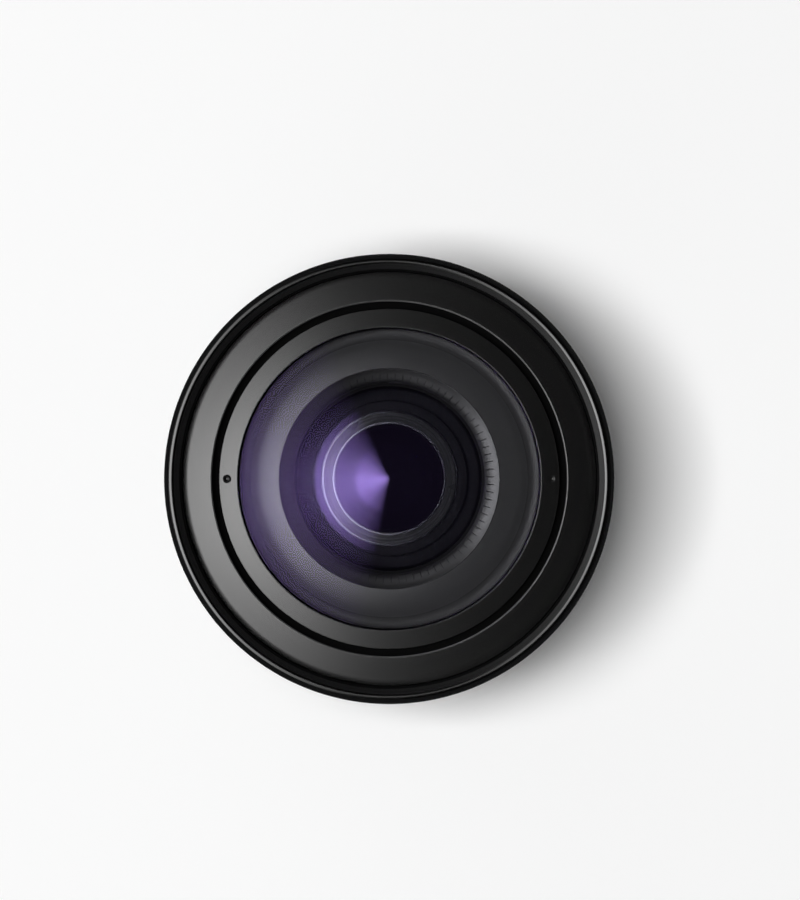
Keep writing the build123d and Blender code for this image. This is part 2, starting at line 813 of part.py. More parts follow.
def front_tube():
    """The moving tube that carries the front group out."""
    tube = ring(tube_bore, tube_radius, front_roller - tube_below_roller, web_bottom)
    hole = radial_pin(roller_radius, tube_bore - past, tube_radius + past, front_roller)
    return tube - around(hole, slot_count, front_slot_angle)


def front_rollers():
    """The pins of the front group, from its tube through the cam slot into the guide slot."""
    pin = radial_pin(roller_radius, guide_bore + carriage_gap, tube_radius, front_roller)
    return around(pin & rod(tube_radius, 0, rim_top), slot_count, front_slot_angle)


def thread_points():
    """The outline of the filter thread from its top down: flat crests with V grooves between them."""
    flank = (filter_thread_pitch - thread_land) / 2
    points = []
    for turn in range(filter_thread_turns):
        top = thread_top - turn * filter_thread_pitch
        points += [(thread_crest_radius, top), (thread_crest_radius, top - thread_land)]
        points += [(thread_root_radius, top - thread_land - flank)]
    return points


def front_ring():
    """The rim: a step, a rounded lip, the filter thread and the web that joins it to the moving tube."""
    step_height = rim_top - rim_step_depth
    lip_radius = rim_radius - rim_step_width
    lip_bore = lip_radius - rim_lip_width
    seat = thread_crest_radius - front_web_width
    return turned(
        [
            (tube_radius, front_bottom), (rim_radius, front_bottom, edge_round),
            (rim_radius, step_height, edge_round / 2), (lip_radius, step_height),
            (lip_radius, rim_top, rim_lip_round), (lip_bore, rim_top, rim_lip_round),
            (lip_bore, rim_top - rim_lip_height),
        ]
        + thread_points()
        + [
            (thread_root_radius, bezel_bottom), (seat, bezel_bottom), (seat, web_bottom),
            (tube_radius, web_bottom),
        ]
    )


def front_bezel():
    """The shallow cone round the front group, which falls towards the thread."""
    radius = thread_crest_radius - bezel_clearance
    return turned([
        (bezel_bore, bezel_bottom), (radius, bezel_bottom), (radius, bezel_top - bezel_fall),
        (bezel_bore + bezel_edge, bezel_top), (bezel_bore, bezel_top - bezel_edge),
    ])


def front_retainer():
    """The ring that holds the front element in its cell, with two holes for a spanner."""
    top = retainer_bottom + retainer_thickness
    skirt_bottom = retainer_bottom - retainer_skirt_height
    skirt_bore = retainer_radius - retainer_skirt + retainer_clearance
    body = turned([
        (retainer_bore, retainer_bottom), (skirt_bore, retainer_bottom), (skirt_bore, skirt_bottom),
        (retainer_radius, skirt_bottom), (retainer_radius, top - retainer_fall - retainer_edge),
        (retainer_radius - retainer_edge, top - retainer_fall), (retainer_bore + retainer_edge, top),
        (retainer_bore, top - retainer_edge),
    ])
    hole = rod(spanner_hole_radius, top - spanner_hole_depth, top + past, spanner_hole_circle)
    point_height = spanner_hole_radius * math.tan(math.radians(spanner_point_angle))
    point_middle = top - spanner_hole_depth - point_height / 2
    point = Pos(spanner_hole_circle, 0, point_middle) * Cone(0, spanner_hole_radius, point_height)
    return body - around(hole + point, 2)


def front_lens():
    return lens(
        front_lens_radius, front_lens_radius, front_lens_seat, front_lens_thickness,
        front_lens_curve, -front_lens_back_curve)


def front_cell():
    """The cell of the front group: the front element's seat, a coved shelf and the inner pair's bore."""
    seat_bore = front_lens_radius - front_seat_width
    shelf_low = shelf_top - front_shelf_fall
    skirt_radius = retainer_radius - retainer_skirt
    groove_bottom = bezel_top - front_groove_depth
    wall_bottom = shelf_low - front_cell_wall
    lip_top = inner_cell_bottom + inner_lip_height
    lip_bore = second_lens_radius - inner_lip
    flange_bore = thread_crest_radius - front_web_width
    return turned([
        (front_lens_radius, front_lens_seat), (front_lens_radius, retainer_bottom),
        (skirt_radius, retainer_bottom),
        (skirt_radius, groove_bottom), (flange_bore, groove_bottom), (flange_bore, web_bottom),
        (tube_bore, web_bottom), (tube_bore, groove_bottom - front_cell_wall),
        (skirt_radius, groove_bottom - front_cell_wall), (skirt_radius, wall_bottom, front_cell_wall / 2),
        (shelf_inner_radius + inner_cell_wall, wall_bottom, front_cell_wall / 2),
        (shelf_inner_radius + inner_cell_wall, inner_cell_bottom), (lip_bore, inner_cell_bottom),
        (lip_bore, lip_top), (second_lens_radius, lip_top), (second_lens_radius, inner_retainer_bottom),
        (shelf_inner_radius, inner_retainer_bottom), (shelf_inner_radius, shelf_top),
        (seat_bore, shelf_low, front_cove), (seat_bore, front_lens_seat),
    ])


def inner_retainer():
    """The funnel-shaped ring that holds the inner pair."""
    throat = inner_retainer_bottom + inner_lens_overlap / 2
    rim = shelf_inner_radius - retainer_edge
    mouth_radius = rim + (inner_retainer_bore - rim) * mouth_reach_share
    mouth_level = throat + (inner_retainer_top - throat) * mouth_height_share
    face = make_face([
        Polyline(
            (inner_retainer_bore, throat), (inner_retainer_bore, inner_retainer_bottom),
            (shelf_inner_radius, inner_retainer_bottom), (shelf_inner_radius, inner_retainer_top),
            (rim, inner_retainer_top),
        ),
        ThreePointArc((rim, inner_retainer_top), (mouth_radius, mouth_level), (inner_retainer_bore, throat)),
    ])
    return revolve(Plane.XZ * face, Axis.Z)


def second_lens():
    return lens(
        second_lens_radius, second_lens_radius, second_lens_back, second_lens_thickness,
        second_lens_curve, -cement_curve)


def third_lens():
    """The element cemented behind the second one. Its front follows the back of that one."""
    radius = second_lens_radius
    front = second_lens_back + sag(cement_curve, radius)
    half_chord = radius / 2
    front_half = front - sag(cement_curve, half_chord)
    outline = [
        ThreePointArc((0, front), (half_chord, front_half), (radius, second_lens_back)),
        Polyline((radius, second_lens_back), (radius, third_lens_back), (0, third_lens_back), (0, front)),
    ]
    return revolve(Plane.XZ * make_face(outline), Axis.Z)


def carriage_rollers(height, angle):
    """A carriage's pins, from its ring through the guide slot into the cam slot."""
    near = carriage_radius - carriage_ring_wall
    pin = radial_pin(roller_radius, near, cam_radius, height) & rod(cam_radius, 0, rim_top)
    return around(pin, slot_count, angle)


def carriage_holes(height, angle):
    """Cutters for a carriage's pins."""
    reach = radial_pin(roller_radius, carriage_radius - carriage_ring_wall, carriage_radius + past, height)
    return around(reach, slot_count, angle)


def variator_carriage():
    """The carriage of the variator: an outer ring, a web and the cell in its middle."""
    ring_bottom = variator_roller - variator_ring_height / 2
    ring_top = ring_bottom + variator_ring_height
    ring_bore = carriage_radius - carriage_ring_wall
    web_low = variator_roller - variator_web / 2
    web_high = web_low + variator_web
    cell_radius = variator_lens_radius + variator_cell_wall
    lip_bore = variator_lens_radius - variator_lip
    bottom = variator_cell_bottom
    body = turned([
        (carriage_radius, ring_bottom), (carriage_radius, ring_top), (ring_bore, ring_top),
        (ring_bore, web_high), (cell_radius, web_high), (cell_radius, variator_cell_top, edge_round),
        (variator_lens_radius, variator_cell_top), (variator_lens_radius, variator_lens_seat),
        (lip_bore, variator_lens_seat), (lip_bore, bottom), (cell_radius, bottom), (cell_radius, web_low),
        (ring_bore, web_low), (ring_bore, ring_bottom),
    ])
    return body - carriage_holes(variator_roller, variator_slot_angle)


def variator_lens():
    """A meniscus that bulges to the front, held between the cell's lip and its retainer."""
    return lens(variator_lens_radius, variator_lens_radius, variator_lens_seat, variator_lens_thickness,
                variator_lens_curve, -variator_lens_back_curve)


def variator_retainer():
    """The ring in front of the variator, with fine grooves in its face."""
    back = variator_lens_seat - sag(-variator_lens_back_curve, variator_lens_radius)
    vertex = back + variator_lens_thickness
    bottom = vertex - sag(variator_lens_curve, variator_aperture)
    top = variator_cell_top - variator_retainer_edge
    edge = variator_retainer_edge
    body = turned([
        (variator_aperture, bottom), (variator_lens_radius, bottom), (variator_lens_radius, top - edge),
        (variator_lens_radius - edge, top), (variator_aperture + edge, top), (variator_aperture, top - edge),
    ])
    first = variator_aperture + variator_groove_inset
    for i in range(variator_groove_count):
        radius = first + i * variator_groove_spacing
        body = body - ring(radius, radius + variator_groove, top - variator_groove, top + past)
    return body


def relay_carriage():
    """The carriage of the relay group, whose cell also carries the iris."""
    ring_bottom = relay_cell_bottom
    ring_top = ring_bottom + relay_ring_height
    ring_bore = carriage_radius - carriage_ring_wall
    web_low = ring_top - relay_web
    seat = ring_bottom + relay_lip
    lip_bore = relay_lens_radius - relay_lip
    body = turned([
        (carriage_radius, ring_bottom), (carriage_radius, ring_top), (relay_cell_radius, ring_top),
        (relay_cell_radius, iris_bottom), (relay_lens_radius, iris_bottom), (relay_lens_radius, seat),
        (lip_bore, seat), (lip_bore, ring_bottom), (relay_cell_radius, ring_bottom),
        (relay_cell_radius, web_low), (ring_bore, web_low), (ring_bore, ring_bottom),
    ])
    return body - carriage_holes(relay_roller, relay_slot_angle)


def relay_lens():
    return lens(
        relay_lens_radius, relay_lens_radius - relay_lip, relay_cell_bottom + relay_lip, relay_lens_thickness,
        relay_lens_curve, relay_lens_back_curve)


def blade_height(i):
    """The underside of a blade. Each blade lies on a level of its own."""
    return iris_bottom + iris_plate + blade_floor_gap + i * blade_pitch


def iris_ring_bottom():
    return blade_height(blade_count) + iris_ring_gap


def iris_base():
    """The iris housing: a floor with a hole for each blade's pivot, and a wall."""
    bottom = iris_bottom
    floor_top = bottom + iris_plate
    body = turned([
        (iris_open_radius, bottom), (iris_radius, bottom), (iris_radius, bottom + iris_height),
        (iris_radius - iris_wall, bottom + iris_height), (iris_radius - iris_wall, floor_top),
        (iris_open_radius, floor_top),
    ])
    hole = rod(pivot_radius + pivot_hole_clearance, bottom - past, floor_top + past, pivot_circle)
    return body - around(hole, blade_count)


def iris_cover():
    """The thin ring that keeps the iris ring in its housing."""
    top = iris_bottom + iris_height
    return ring(iris_ring_bore, iris_radius - iris_wall, top - iris_cover_thickness, top)


def drive_pin_point(share):
    """Where a blade's drive pin is, as the iris ring sees it, after a share of the whole travel."""
    swing = math.radians(blade_angle * share)
    turn = math.radians(-iris_angle * share)
    x = pivot_circle + drive_arm * math.sin(swing)
    y = -drive_arm * math.cos(swing)
    return (x * math.cos(turn) - y * math.sin(turn), x * math.sin(turn) + y * math.cos(turn))


def iris_ring():
    """The turning ring, whose slots swing the blades by their drive pins."""
    bottom = iris_ring_bottom()
    plate = ring(iris_ring_bore, iris_radius - iris_wall - ring_gap, bottom, bottom + iris_ring_thickness)
    path = ThreePointArc(drive_pin_point(0), drive_pin_point(1 / 2), drive_pin_point(1))
    outline = SlotArc(path, 2 * (drive_pin_radius + drive_slot_clearance))
    slot = Pos(0, 0, bottom - past) * extrude(outline, iris_ring_thickness + 2 * past)
    return plate - around(slot, blade_count)


def iris_blade(i):
    """One blade: a crescent with a pivot pin below it and a drive pin above it, at the end of an arm."""
    inner = iris_open_radius + blade_setback
    outer = inner + blade_width
    half = math.radians(blade_span_angle / 2)
    end = math.radians(blade_span_angle)

    def at(radius, angle):
        return (radius * math.cos(angle), radius * math.sin(angle))

    crescent = make_face([
        ThreePointArc(at(inner, 0), at(inner, half), at(inner, end)),
        Line(at(inner, end), at(outer, end)),
        ThreePointArc(at(outer, end), at(outer, half), at(outer, 0)),
        Line(at(outer, 0), at(inner, 0)),
    ])
    root = Pos((inner + outer) / 2, pivot_ear) * Circle(pivot_ear)
    ear = Pos(pivot_circle, 0) * Circle(pivot_ear)
    tail = Pos(pivot_circle, -drive_arm) * Circle(drive_ear)
    neck = make_hull(root.edges() + ear.edges())
    arm = make_hull(ear.edges() + tail.edges())
    bottom = blade_height(i)
    leaf = Pos(0, 0, bottom) * extrude(crescent + neck + arm, blade_thickness)
    middle = bottom + blade_thickness / 2
    pivot = rod(pivot_radius, iris_bottom + pivot_tip_gap, middle, pivot_circle)
    drive = rod(drive_pin_radius, middle, iris_ring_bottom() + iris_ring_thickness, pivot_circle, -drive_arm)
    return Rot(0, 0, i * 360.0 / blade_count) * (leaf + pivot + drive)


def focus_frame():
    """The frame inside the guide barrel that holds the rods, the lead screw and the motor."""
    bottom = focus_frame_bottom
    plate_radius = guide_bore - carriage_ring_wall
    pillar_middle = plate_radius - focus_pillar_depth / 2
    frame = ring(focus_frame_bore, guide_bore, bottom, bottom + focus_frame_plate)
    top_plate_bottom = focus_frame_top - focus_frame_top_plate
    frame = frame + ring(focus_frame_bore, plate_radius, top_plate_bottom, focus_frame_top)
    pillar = Pos(pillar_middle, 0, (bottom + focus_frame_top) / 2) * Box(
        focus_pillar_depth, focus_pillar_width, focus_frame_height)
    frame = frame + around(pillar, focus_pillar_count, focus_pillar_start_angle)
    bore = rod(lead_screw_radius + rod_clearance, bottom - past, spindle_top + spindle_end_gap, 0, rod_circle)
    return frame - guide_rods() - bore


def guide_rods():
    return around(rod(rod_radius, focus_frame_bottom, focus_frame_top, rod_circle), rod_count)


def focus_motor():
    """The stepping motor that hangs under the frame and turns the lead screw."""
    body = rod(motor_radius, motor_bottom, focus_frame_bottom, 0, rod_circle)
    shaft = rod(lead_screw_radius + rod_clearance, focus_frame_bottom - motor_shaft_depth,
                focus_frame_bottom + past, 0, rod_circle)
    return body - shaft


def lead_screw():
    """The lead screw, with its thread as ring grooves."""
    body = rod(lead_screw_radius, spindle_bottom, spindle_top, 0, rod_circle)
    first = focus_frame_bottom + focus_frame_plate + lead_screw_pitch
    last = focus_frame_top - focus_frame_top_plate - lead_screw_pitch
    count = int((last - first) / lead_screw_pitch)
    groove = ring(lead_screw_radius - lead_screw_groove, lead_screw_radius + past, 0, lead_screw_pitch / 2)
    return body - [Pos(0, rod_circle, first + i * lead_screw_pitch) * groove for i in range(count)]


def focus_cell():
    """The focusing cell, with a boss on each rod and a nut on the lead screw."""
    bottom = focus_cell_bottom
    top = bottom + focus_cell_height
    seat = bottom + focus_lens_lip
    lip_bore = focus_lens_radius - focus_lens_lip
    body = turned([
        (focus_lens_radius, seat), (focus_lens_radius, top), (focus_cell_radius, top),
        (focus_cell_radius, bottom), (lip_bore, bottom), (lip_bore, seat),
    ])
    arm_foot = (focus_lens_radius + focus_cell_radius) / 2
    arm = Pos((arm_foot + rod_circle) / 2, 0, bottom + focus_arm_height / 2) * Box(
        rod_circle - arm_foot, focus_arm_width, focus_arm_height)
    boss = rod(rod_boss_radius, bottom, top, rod_circle)
    nut = rod(rod_boss_radius, bottom, bottom + focus_arm_height, rod_circle)
    for angle, end in ((0, boss), (90, nut), (180, boss)):
        body = body + Rot(0, 0, angle) * (arm + end)
    rod_bore = rod(rod_radius + rod_clearance, bottom - past, top + past, rod_circle)
    nut_bore = rod(lead_screw_radius + rod_clearance, bottom - past, top + past, 0, rod_circle)
    return body - around(rod_bore, rod_count) - nut_bore


def focus_lens():
    return lens(
        focus_lens_radius, focus_lens_radius - focus_lens_lip, focus_cell_bottom + focus_lens_lip,
        focus_lens_thickness, focus_lens_curve, focus_lens_back_curve)


def rear_cell():
    """The fixed rear cell, which drops into the chassis and hangs there by its flange."""
    top = rear_cell_bottom + rear_cell_height
    return turned([
        (rear_lens_radius - rear_cell_lip, rear_cell_bottom), (rear_cell_radius, rear_cell_bottom),
        (rear_cell_radius, chassis_floor_top), (rear_cell_radius + rear_cell_flange, chassis_floor_top),
        (rear_cell_radius + rear_cell_flange, chassis_floor_top + rear_cell_flange_thickness),
        (rear_cell_radius, chassis_floor_top + rear_cell_flange_thickness), (rear_cell_radius, top),
        (rear_lens_radius, top), (rear_lens_radius, rear_cell_bottom + rear_cell_lip),
        (rear_lens_radius - rear_cell_lip, rear_cell_bottom + rear_cell_lip),
    ])


def rear_lens():
    return lens(rear_lens_radius, rear_lens_radius, rear_cell_bottom + rear_cell_lip, rear_lens_thickness,
                rear_lens_front_curve, -rear_lens_back_curve)


pieces = {
    "mount_plate": mount_plate(),
    "mount_screws": mount_screws(),
    "mount_seal": mount_seal(),
    "contact_block": contact_block() - contact_pins(),
    "contact_pins": contact_pins(),
    "rear_baffle": rear_baffle(),
    "chassis": chassis(),
    "main_board": main_board(),
    "rear_shell": rear_shell(),
    "switch_panel": switch_panel(),
    "switch_block": switch_block(),
    "focus_mode_switch": switch_knob(-1),
    "focus_limit_switch": switch_knob(1),
    "guide_barrel": guide_barrel(),
    "guide_screws": guide_screws(),
    "cam_retainer": cam_retainer(),
    "outer_barrel": outer_barrel(),
    "index_ring": index_ring(),
    "front_collar": front_collar(),
    "zoom_sleeve": zoom_sleeve(),
    "zoom_grip": zoom_grip(),
    "zoom_keys": zoom_keys(),
    "cam_barrel": cam_barrel(),
    "focus_sleeve": focus_sleeve(),
    "focus_grip": focus_grip(),
    "front_tube": front_tube(),
    "front_rollers": front_rollers(),
    "front_ring": front_ring(),
    "front_bezel": front_bezel(),
    "front_cell": front_cell(),
    "front_retainer": front_retainer(),
    "front_lens": front_lens(),
    "inner_retainer": inner_retainer(),
    "second_lens": second_lens(),
    "third_lens": third_lens(),
    "variator_carriage": variator_carriage(),
    "variator_rollers": carriage_rollers(variator_roller, variator_slot_angle),
    "variator_lens": variator_lens(),
    "variator_retainer": variator_retainer(),
    "relay_carriage": relay_carriage(),
    "relay_rollers": carriage_rollers(relay_roller, relay_slot_angle),
    "relay_lens": relay_lens(),
    "iris_base": iris_base(),
    "iris_cover": iris_cover(),
    "iris_ring": iris_ring(),
    "focus_frame": focus_frame(),
    "guide_rods": guide_rods(),
    "focus_motor": focus_motor(),
    "lead_screw": lead_screw(),
    "focus_cell": focus_cell(),
    "focus_lens": focus_lens(),
    "rear_cell": rear_cell(),
    "rear_lens": rear_lens(),
}
for i in range(blade_count):
    pieces[f"iris_blade_{i + 1}"] = iris_blade(i)

for node, shape in pieces.items():
    solids = [s for piece in (shape if isinstance(shape, list) else [shape]) for s in piece.solids()]
    export_step(solids[0] if len(solids) == 1 else Compound(children=solids), f"parts/{node}.step")
print(len(pieces), "nodes")
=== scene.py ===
import json
import math

import bmesh
import bpy
from mathutils import Matrix, Vector


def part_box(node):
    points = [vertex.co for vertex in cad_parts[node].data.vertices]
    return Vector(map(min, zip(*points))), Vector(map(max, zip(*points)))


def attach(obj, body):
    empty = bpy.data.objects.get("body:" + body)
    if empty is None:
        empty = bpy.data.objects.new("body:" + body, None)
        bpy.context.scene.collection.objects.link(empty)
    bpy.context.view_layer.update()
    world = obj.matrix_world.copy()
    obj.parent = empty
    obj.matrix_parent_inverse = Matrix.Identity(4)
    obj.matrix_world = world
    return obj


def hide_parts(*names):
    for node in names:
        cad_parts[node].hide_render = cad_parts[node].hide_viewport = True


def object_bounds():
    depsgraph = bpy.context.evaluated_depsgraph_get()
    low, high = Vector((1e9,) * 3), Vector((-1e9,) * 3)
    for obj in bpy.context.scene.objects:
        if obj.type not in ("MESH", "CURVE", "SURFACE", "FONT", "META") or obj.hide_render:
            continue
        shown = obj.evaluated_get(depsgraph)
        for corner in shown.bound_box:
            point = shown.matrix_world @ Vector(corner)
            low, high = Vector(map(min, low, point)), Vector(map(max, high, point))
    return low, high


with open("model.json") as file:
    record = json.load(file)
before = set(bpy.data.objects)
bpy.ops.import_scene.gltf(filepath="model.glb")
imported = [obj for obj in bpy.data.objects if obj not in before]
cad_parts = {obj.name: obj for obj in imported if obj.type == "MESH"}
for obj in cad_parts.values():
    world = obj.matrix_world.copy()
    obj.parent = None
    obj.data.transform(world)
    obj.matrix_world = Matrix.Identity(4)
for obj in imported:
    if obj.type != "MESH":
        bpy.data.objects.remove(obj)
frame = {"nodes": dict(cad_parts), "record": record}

cad_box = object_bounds()

# The scene dresses a macro zoom lens that stands on its bayonet. Lengths are in millimetres and become
# metres where a mesh is made. Radii and heights come from the boxes of the CAD nodes where these hold them.
MM = 0.001


def bottom(node):
    """The lowest height of a node."""
    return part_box(node)[0].z / MM


def top(node):
    """The highest height of a node."""
    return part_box(node)[1].z / MM


def radius(node):
    """The outer radius of a round node."""
    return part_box(node)[1].x / MM


def extent(node):
    """A round node's lowest and highest height, and its outer radius."""
    return bottom(node), top(node), radius(node)


# Filter thread
thread = next(m for m in frame["record"]["mounts"] if m["name"] == "filter_thread")
thread_crest = thread["dims"]["r_mm"]
thread_length = thread["dims"]["length_mm"]
thread_root = thread_crest + 0.4
thread_pitch = 0.75
thread_land = 0.16
thread_top = thread["pos_m"][2] / MM + thread_length / 2
thread_run_out = 0.2
thread_fade_steps = 4
thread_sunk = 0.05
thread_gap = 0.02
thread_least = 0.01

# Front rim: its step, the groove beside the lip, the bead on the lip, and the slope that leads to the thread,
# whose two corners are given as how far in from the lip and how far under the top they are
rim_top = top("front_ring")
rim_radius = radius("front_ring")
rim_step = 0.65
rim_step_round = 0.15
web_bore = thread_crest - 4.7
lip_inset = 0.75
lip_groove_width = 0.14
lip_groove_depth = 0.3
lip_groove_slope = 0.02
lip_groove_round = 0.03
bead_drop = 0.075
bead_shoulder = 0.035
bead_outside = 0.10
bead_inside = 1.00
bead_bend = 2.1
lead_high = (1.06, 0.38)
lead_low = (2.02, 0.62)
lead_round = 0.06
lead_end = 0.1

# Bezel, retainer and spanner holes
bezel_bore = thread_crest - 5.58
bezel_fall = 0.97
bezel_outer_round = 0.15
bezel_inner_round = 0.22
bezel_land = 0.2
retainer_width = 3.5
retainer_skirt = 0.87
retainer_thickness = 1.3
retainer_fall = 0.60
retainer_side = 0.75
retainer_round = 0.1
retainer_inset = 0.08
spanner_circle = 29.85
spanner_hole = 0.9
spanner_depth = 0.8
spanner_bend = 0.93
spanner_wall = 0.1
spanner_reach = 1.0
spanner_steps = 32

# Front cell: the coved shelf, and the walls round the front element and the inner pair
cell_skirt = 0.9
cell_groove = 5.0
cell_web = 1.6
cell_wall = 2.6
cell_wall_round = 0.8
cell_step = 1.0
cell_rim = 1.4
seat_width = 1.3
seat_round = 0.1
shelf_bore = radius("inner_retainer")
shelf_gap = 0.2
shelf_fall = 0.9
shelf_bend = 39.0
cove_width = 2.0
cove_bend = 4.6
pair_lip = 1.4
pair_lip_height = 1.2

# Lens elements: the bends of their front and back faces, plus how far out the painted reflection reaches, a
# disc in the middle of the variator's front face that mirrors the card more strongly
front_thickness = 6.5
front_bends = (160.0, -260.0)
second_bends = (76.0, -120.0)
third_bends = (120.0, 9000.0)
variator_bends = (60.0, -34.0)
relay_bends = (38.0, 114.0)
focus_bends = (40.0, 160.0)
rear_bends = (60.0, -45.0)
face_gap = 0.004
edge_bevel = 0.1
edge_steepness = 0.8
reflection_disc_radius = 6.04

# Coatings: they mirror more at a slant, and their tint is uneven in wide patches
coating_roughness = 0.02
coating_blend = 0.25
coating_power = 4.0
coating_steep_share = 0.5
coating_patch_size = 14.0
coating_patch_tint = 0.92
finish_patch_size = 9.0

# Funnel round the inner pair, with its flutes
inner_bore = 17.1
funnel_throat = 0.45
funnel_lip = 0.1
funnel_bend = 7.0
throat_zone = 0.5
flute_count = 84
flute_start = 1.0
flute_width = 0.16
flute_height = 0.06
flute_root = 0.05
flute_inset = 0.9
flute_lean = 0.7

# Ring in front of the variator
ring_width = 2.65
ring_fall = 0.13
ring_drop = 0.02
ring_side = 0.2
ring_side_round = 0.05
ring_bevel = 0.1
ring_outer_round = 0.06
ring_inner_round = 0.08
ring_base_inset = 0.3
ring_bore_drop = 0.35
ring_outer_edge = 0.5
ring_inner_edge = 0.42
# Its edge and its two grooves: how far in from the outside each corner is, and how far under the face
ring_face = ((ring_outer_edge, 0.0), (0.85, 0.0), (0.87, 0.1226), (1.0, 0.12), (1.02, 0.0),
             (1.4, 0.0), (1.42, 0.12), (1.55, 0.12), (1.57, 0.0))

# Barrels and grips
band_radius = radius("index_ring")
barrel_radius = 37.82
barrel_gap = 0.08
barrel_bore = radius("front_tube") + 0.12
collar_wall = 1.0
seal_width = 1.3
seal_thickness = 0.17
seal_inner_round = 0.05
seal_outer_round = 0.15
grip_radius = radius("zoom_grip")
grip_seat = 39.1
scale_band = 6.0
plain_band = 1.8
grip_end = 1.5
grip_end_rise = 0.45
grip_end_round = 0.2
grip_valley_round = 0.1
rib_depth = 0.6
rib_count = 84
rib_inset = 0.4
edge_round = 0.3
fine_round = 0.12
crisp_round = 0.04

# Zoom scale: the turn of the ring at which each number meets the index line
scale_turns = (("24", 0.0), ("28", 12.0), ("35", 30.0), ("50", 54.0), ("70", 75.0))
index_angle = 90.0
index_width = 0.7
index_inset = 0.5
number_height = 2.5
number_drop = 4.9
number_depth = 0.035
number_sunk = 0.015
number_slice = 0.6
tick_width = 0.3
tick_low = 1.7
tick_high = 0.5
cap_share = 0.72
paint_proud = 0.02
paint_sunk = 0.05
paint_step = 0.5

# Turned meshes: how many steps go round, how far a round or a bend turns in one step, which edges are
# sharp, how close two points are to be one, and how far the limits of a band reach past its faces
steps_round = 256
round_step = math.radians(18)
bend_step = math.radians(0.9)
sharp_angle = math.radians(32)
same_point = 0.00002
margin = 0.1

# CAD shapes with broken edges: what is welded, what counts as flat, and which edges are broken
weld_distance = 0.0005
flat_angle = math.radians(0.6)
broken_angle = math.radians(28)

# The photograph's frame and the camera's distance, which set the lens
photo_width = 800
photo_height = 900
centre_x = 389.2
centre_y = 479.0
rim_pixels = 225.3
camera_distance = 1500.0
camera_sensor = 36.0
camera_reach = 100.0

# How many layers of glass a ray may cross on its way through the lens
glass_layers = 40

# Lamps, in metres: a bar over the left side for the shadow, and two cards that only glass and metal mirror
bar_near_tilt = math.radians(0.4)
bar_far_tilt = math.radians(11.5)
bar_half_width = math.radians(3.2)
bar_turn = math.radians(179.5)
bar_distance = 2.0
bar_power = 34.3
card_height = 1.9
card_x = -0.0024
card_y = -0.0064
card_reach = math.radians(21.2)
card_start = math.radians(113.0)
card_end = math.radians(261.0)
card_fade_in = math.radians(65.0)
card_fade_out = math.radians(62.0)
card_steps = 32
card_strength = 7.5
side_distance = 1.5
side_low = 0.55
side_high = 1.92
side_half_width = 1.05
side_strength = 2.0
sky_horizon = 0.85
sky_zenith = 0.03
sky_dark_height = 0.6
side_glow = 2.4
glow_right = 0.2
glow_left = -0.4
floor_half = 4.0


# Finishes

def wire(tree, kind, inputs=(), **settings):
    """A shader node with its settings, its input values and its links."""
    node = tree.nodes.new(kind)
    for name, value in settings.items():
        setattr(node, name, value)
    for name, value in dict(inputs).items():
        if isinstance(value, bpy.types.NodeSocket):
            tree.links.new(value, node.inputs[name])
        else:
            node.inputs[name].default_value = value
    return node


def maths(tree, operation, *values):
    """A value that is worked out from others."""
    return wire(tree, "ShaderNodeMath", dict(enumerate(values)), operation=operation).outputs[0]


def spread(tree, value, low, high):
    """A value between 0 and 1, spread over a range."""
    return wire(tree, "ShaderNodeMapRange", {"Value": value, "To Min": low, "To Max": high}).outputs["Result"]


def between(tree, value, low, high):
    """How far a value has come from one end of a range to the other, between 0 and 1."""
    ends = {"Value": value, "From Min": low, "From Max": high}
    return wire(tree, "ShaderNodeMapRange", ends).outputs["Result"]


def ring_marks(tree, place, per_mm):
    """The fine rings that a turning tool leaves round the axis, as a value between 0 and 1."""
    flat = wire(tree, "ShaderNodeVectorMath", {0: place, 1: (1.0, 1.0, 0.0)}, operation="MULTIPLY").outputs[0]
    out = wire(tree, "ShaderNodeVectorMath", {0: flat}, operation="LENGTH").outputs["Value"]
    height = wire(tree, "ShaderNodeSeparateXYZ", {"Vector": place}).outputs["Z"]
    along = maths(tree, "ADD", out, height)
    marks = wire(tree, "ShaderNodeTexNoise",
                 {"W": along, "Scale": per_mm / MM, "Detail": 3.0, "Roughness": 0.6}, noise_dimensions="1D")
    return marks.outputs[0]


def grain_marks(tree, place, size):
    """An even grain of a given size, as a value between 0 and 1."""
    grain = wire(tree, "ShaderNodeTexNoise",
                 {"Vector": place, "Scale": 1 / (size * MM), "Detail": 2.0, "Roughness": 0.55})
    return grain.outputs[0]


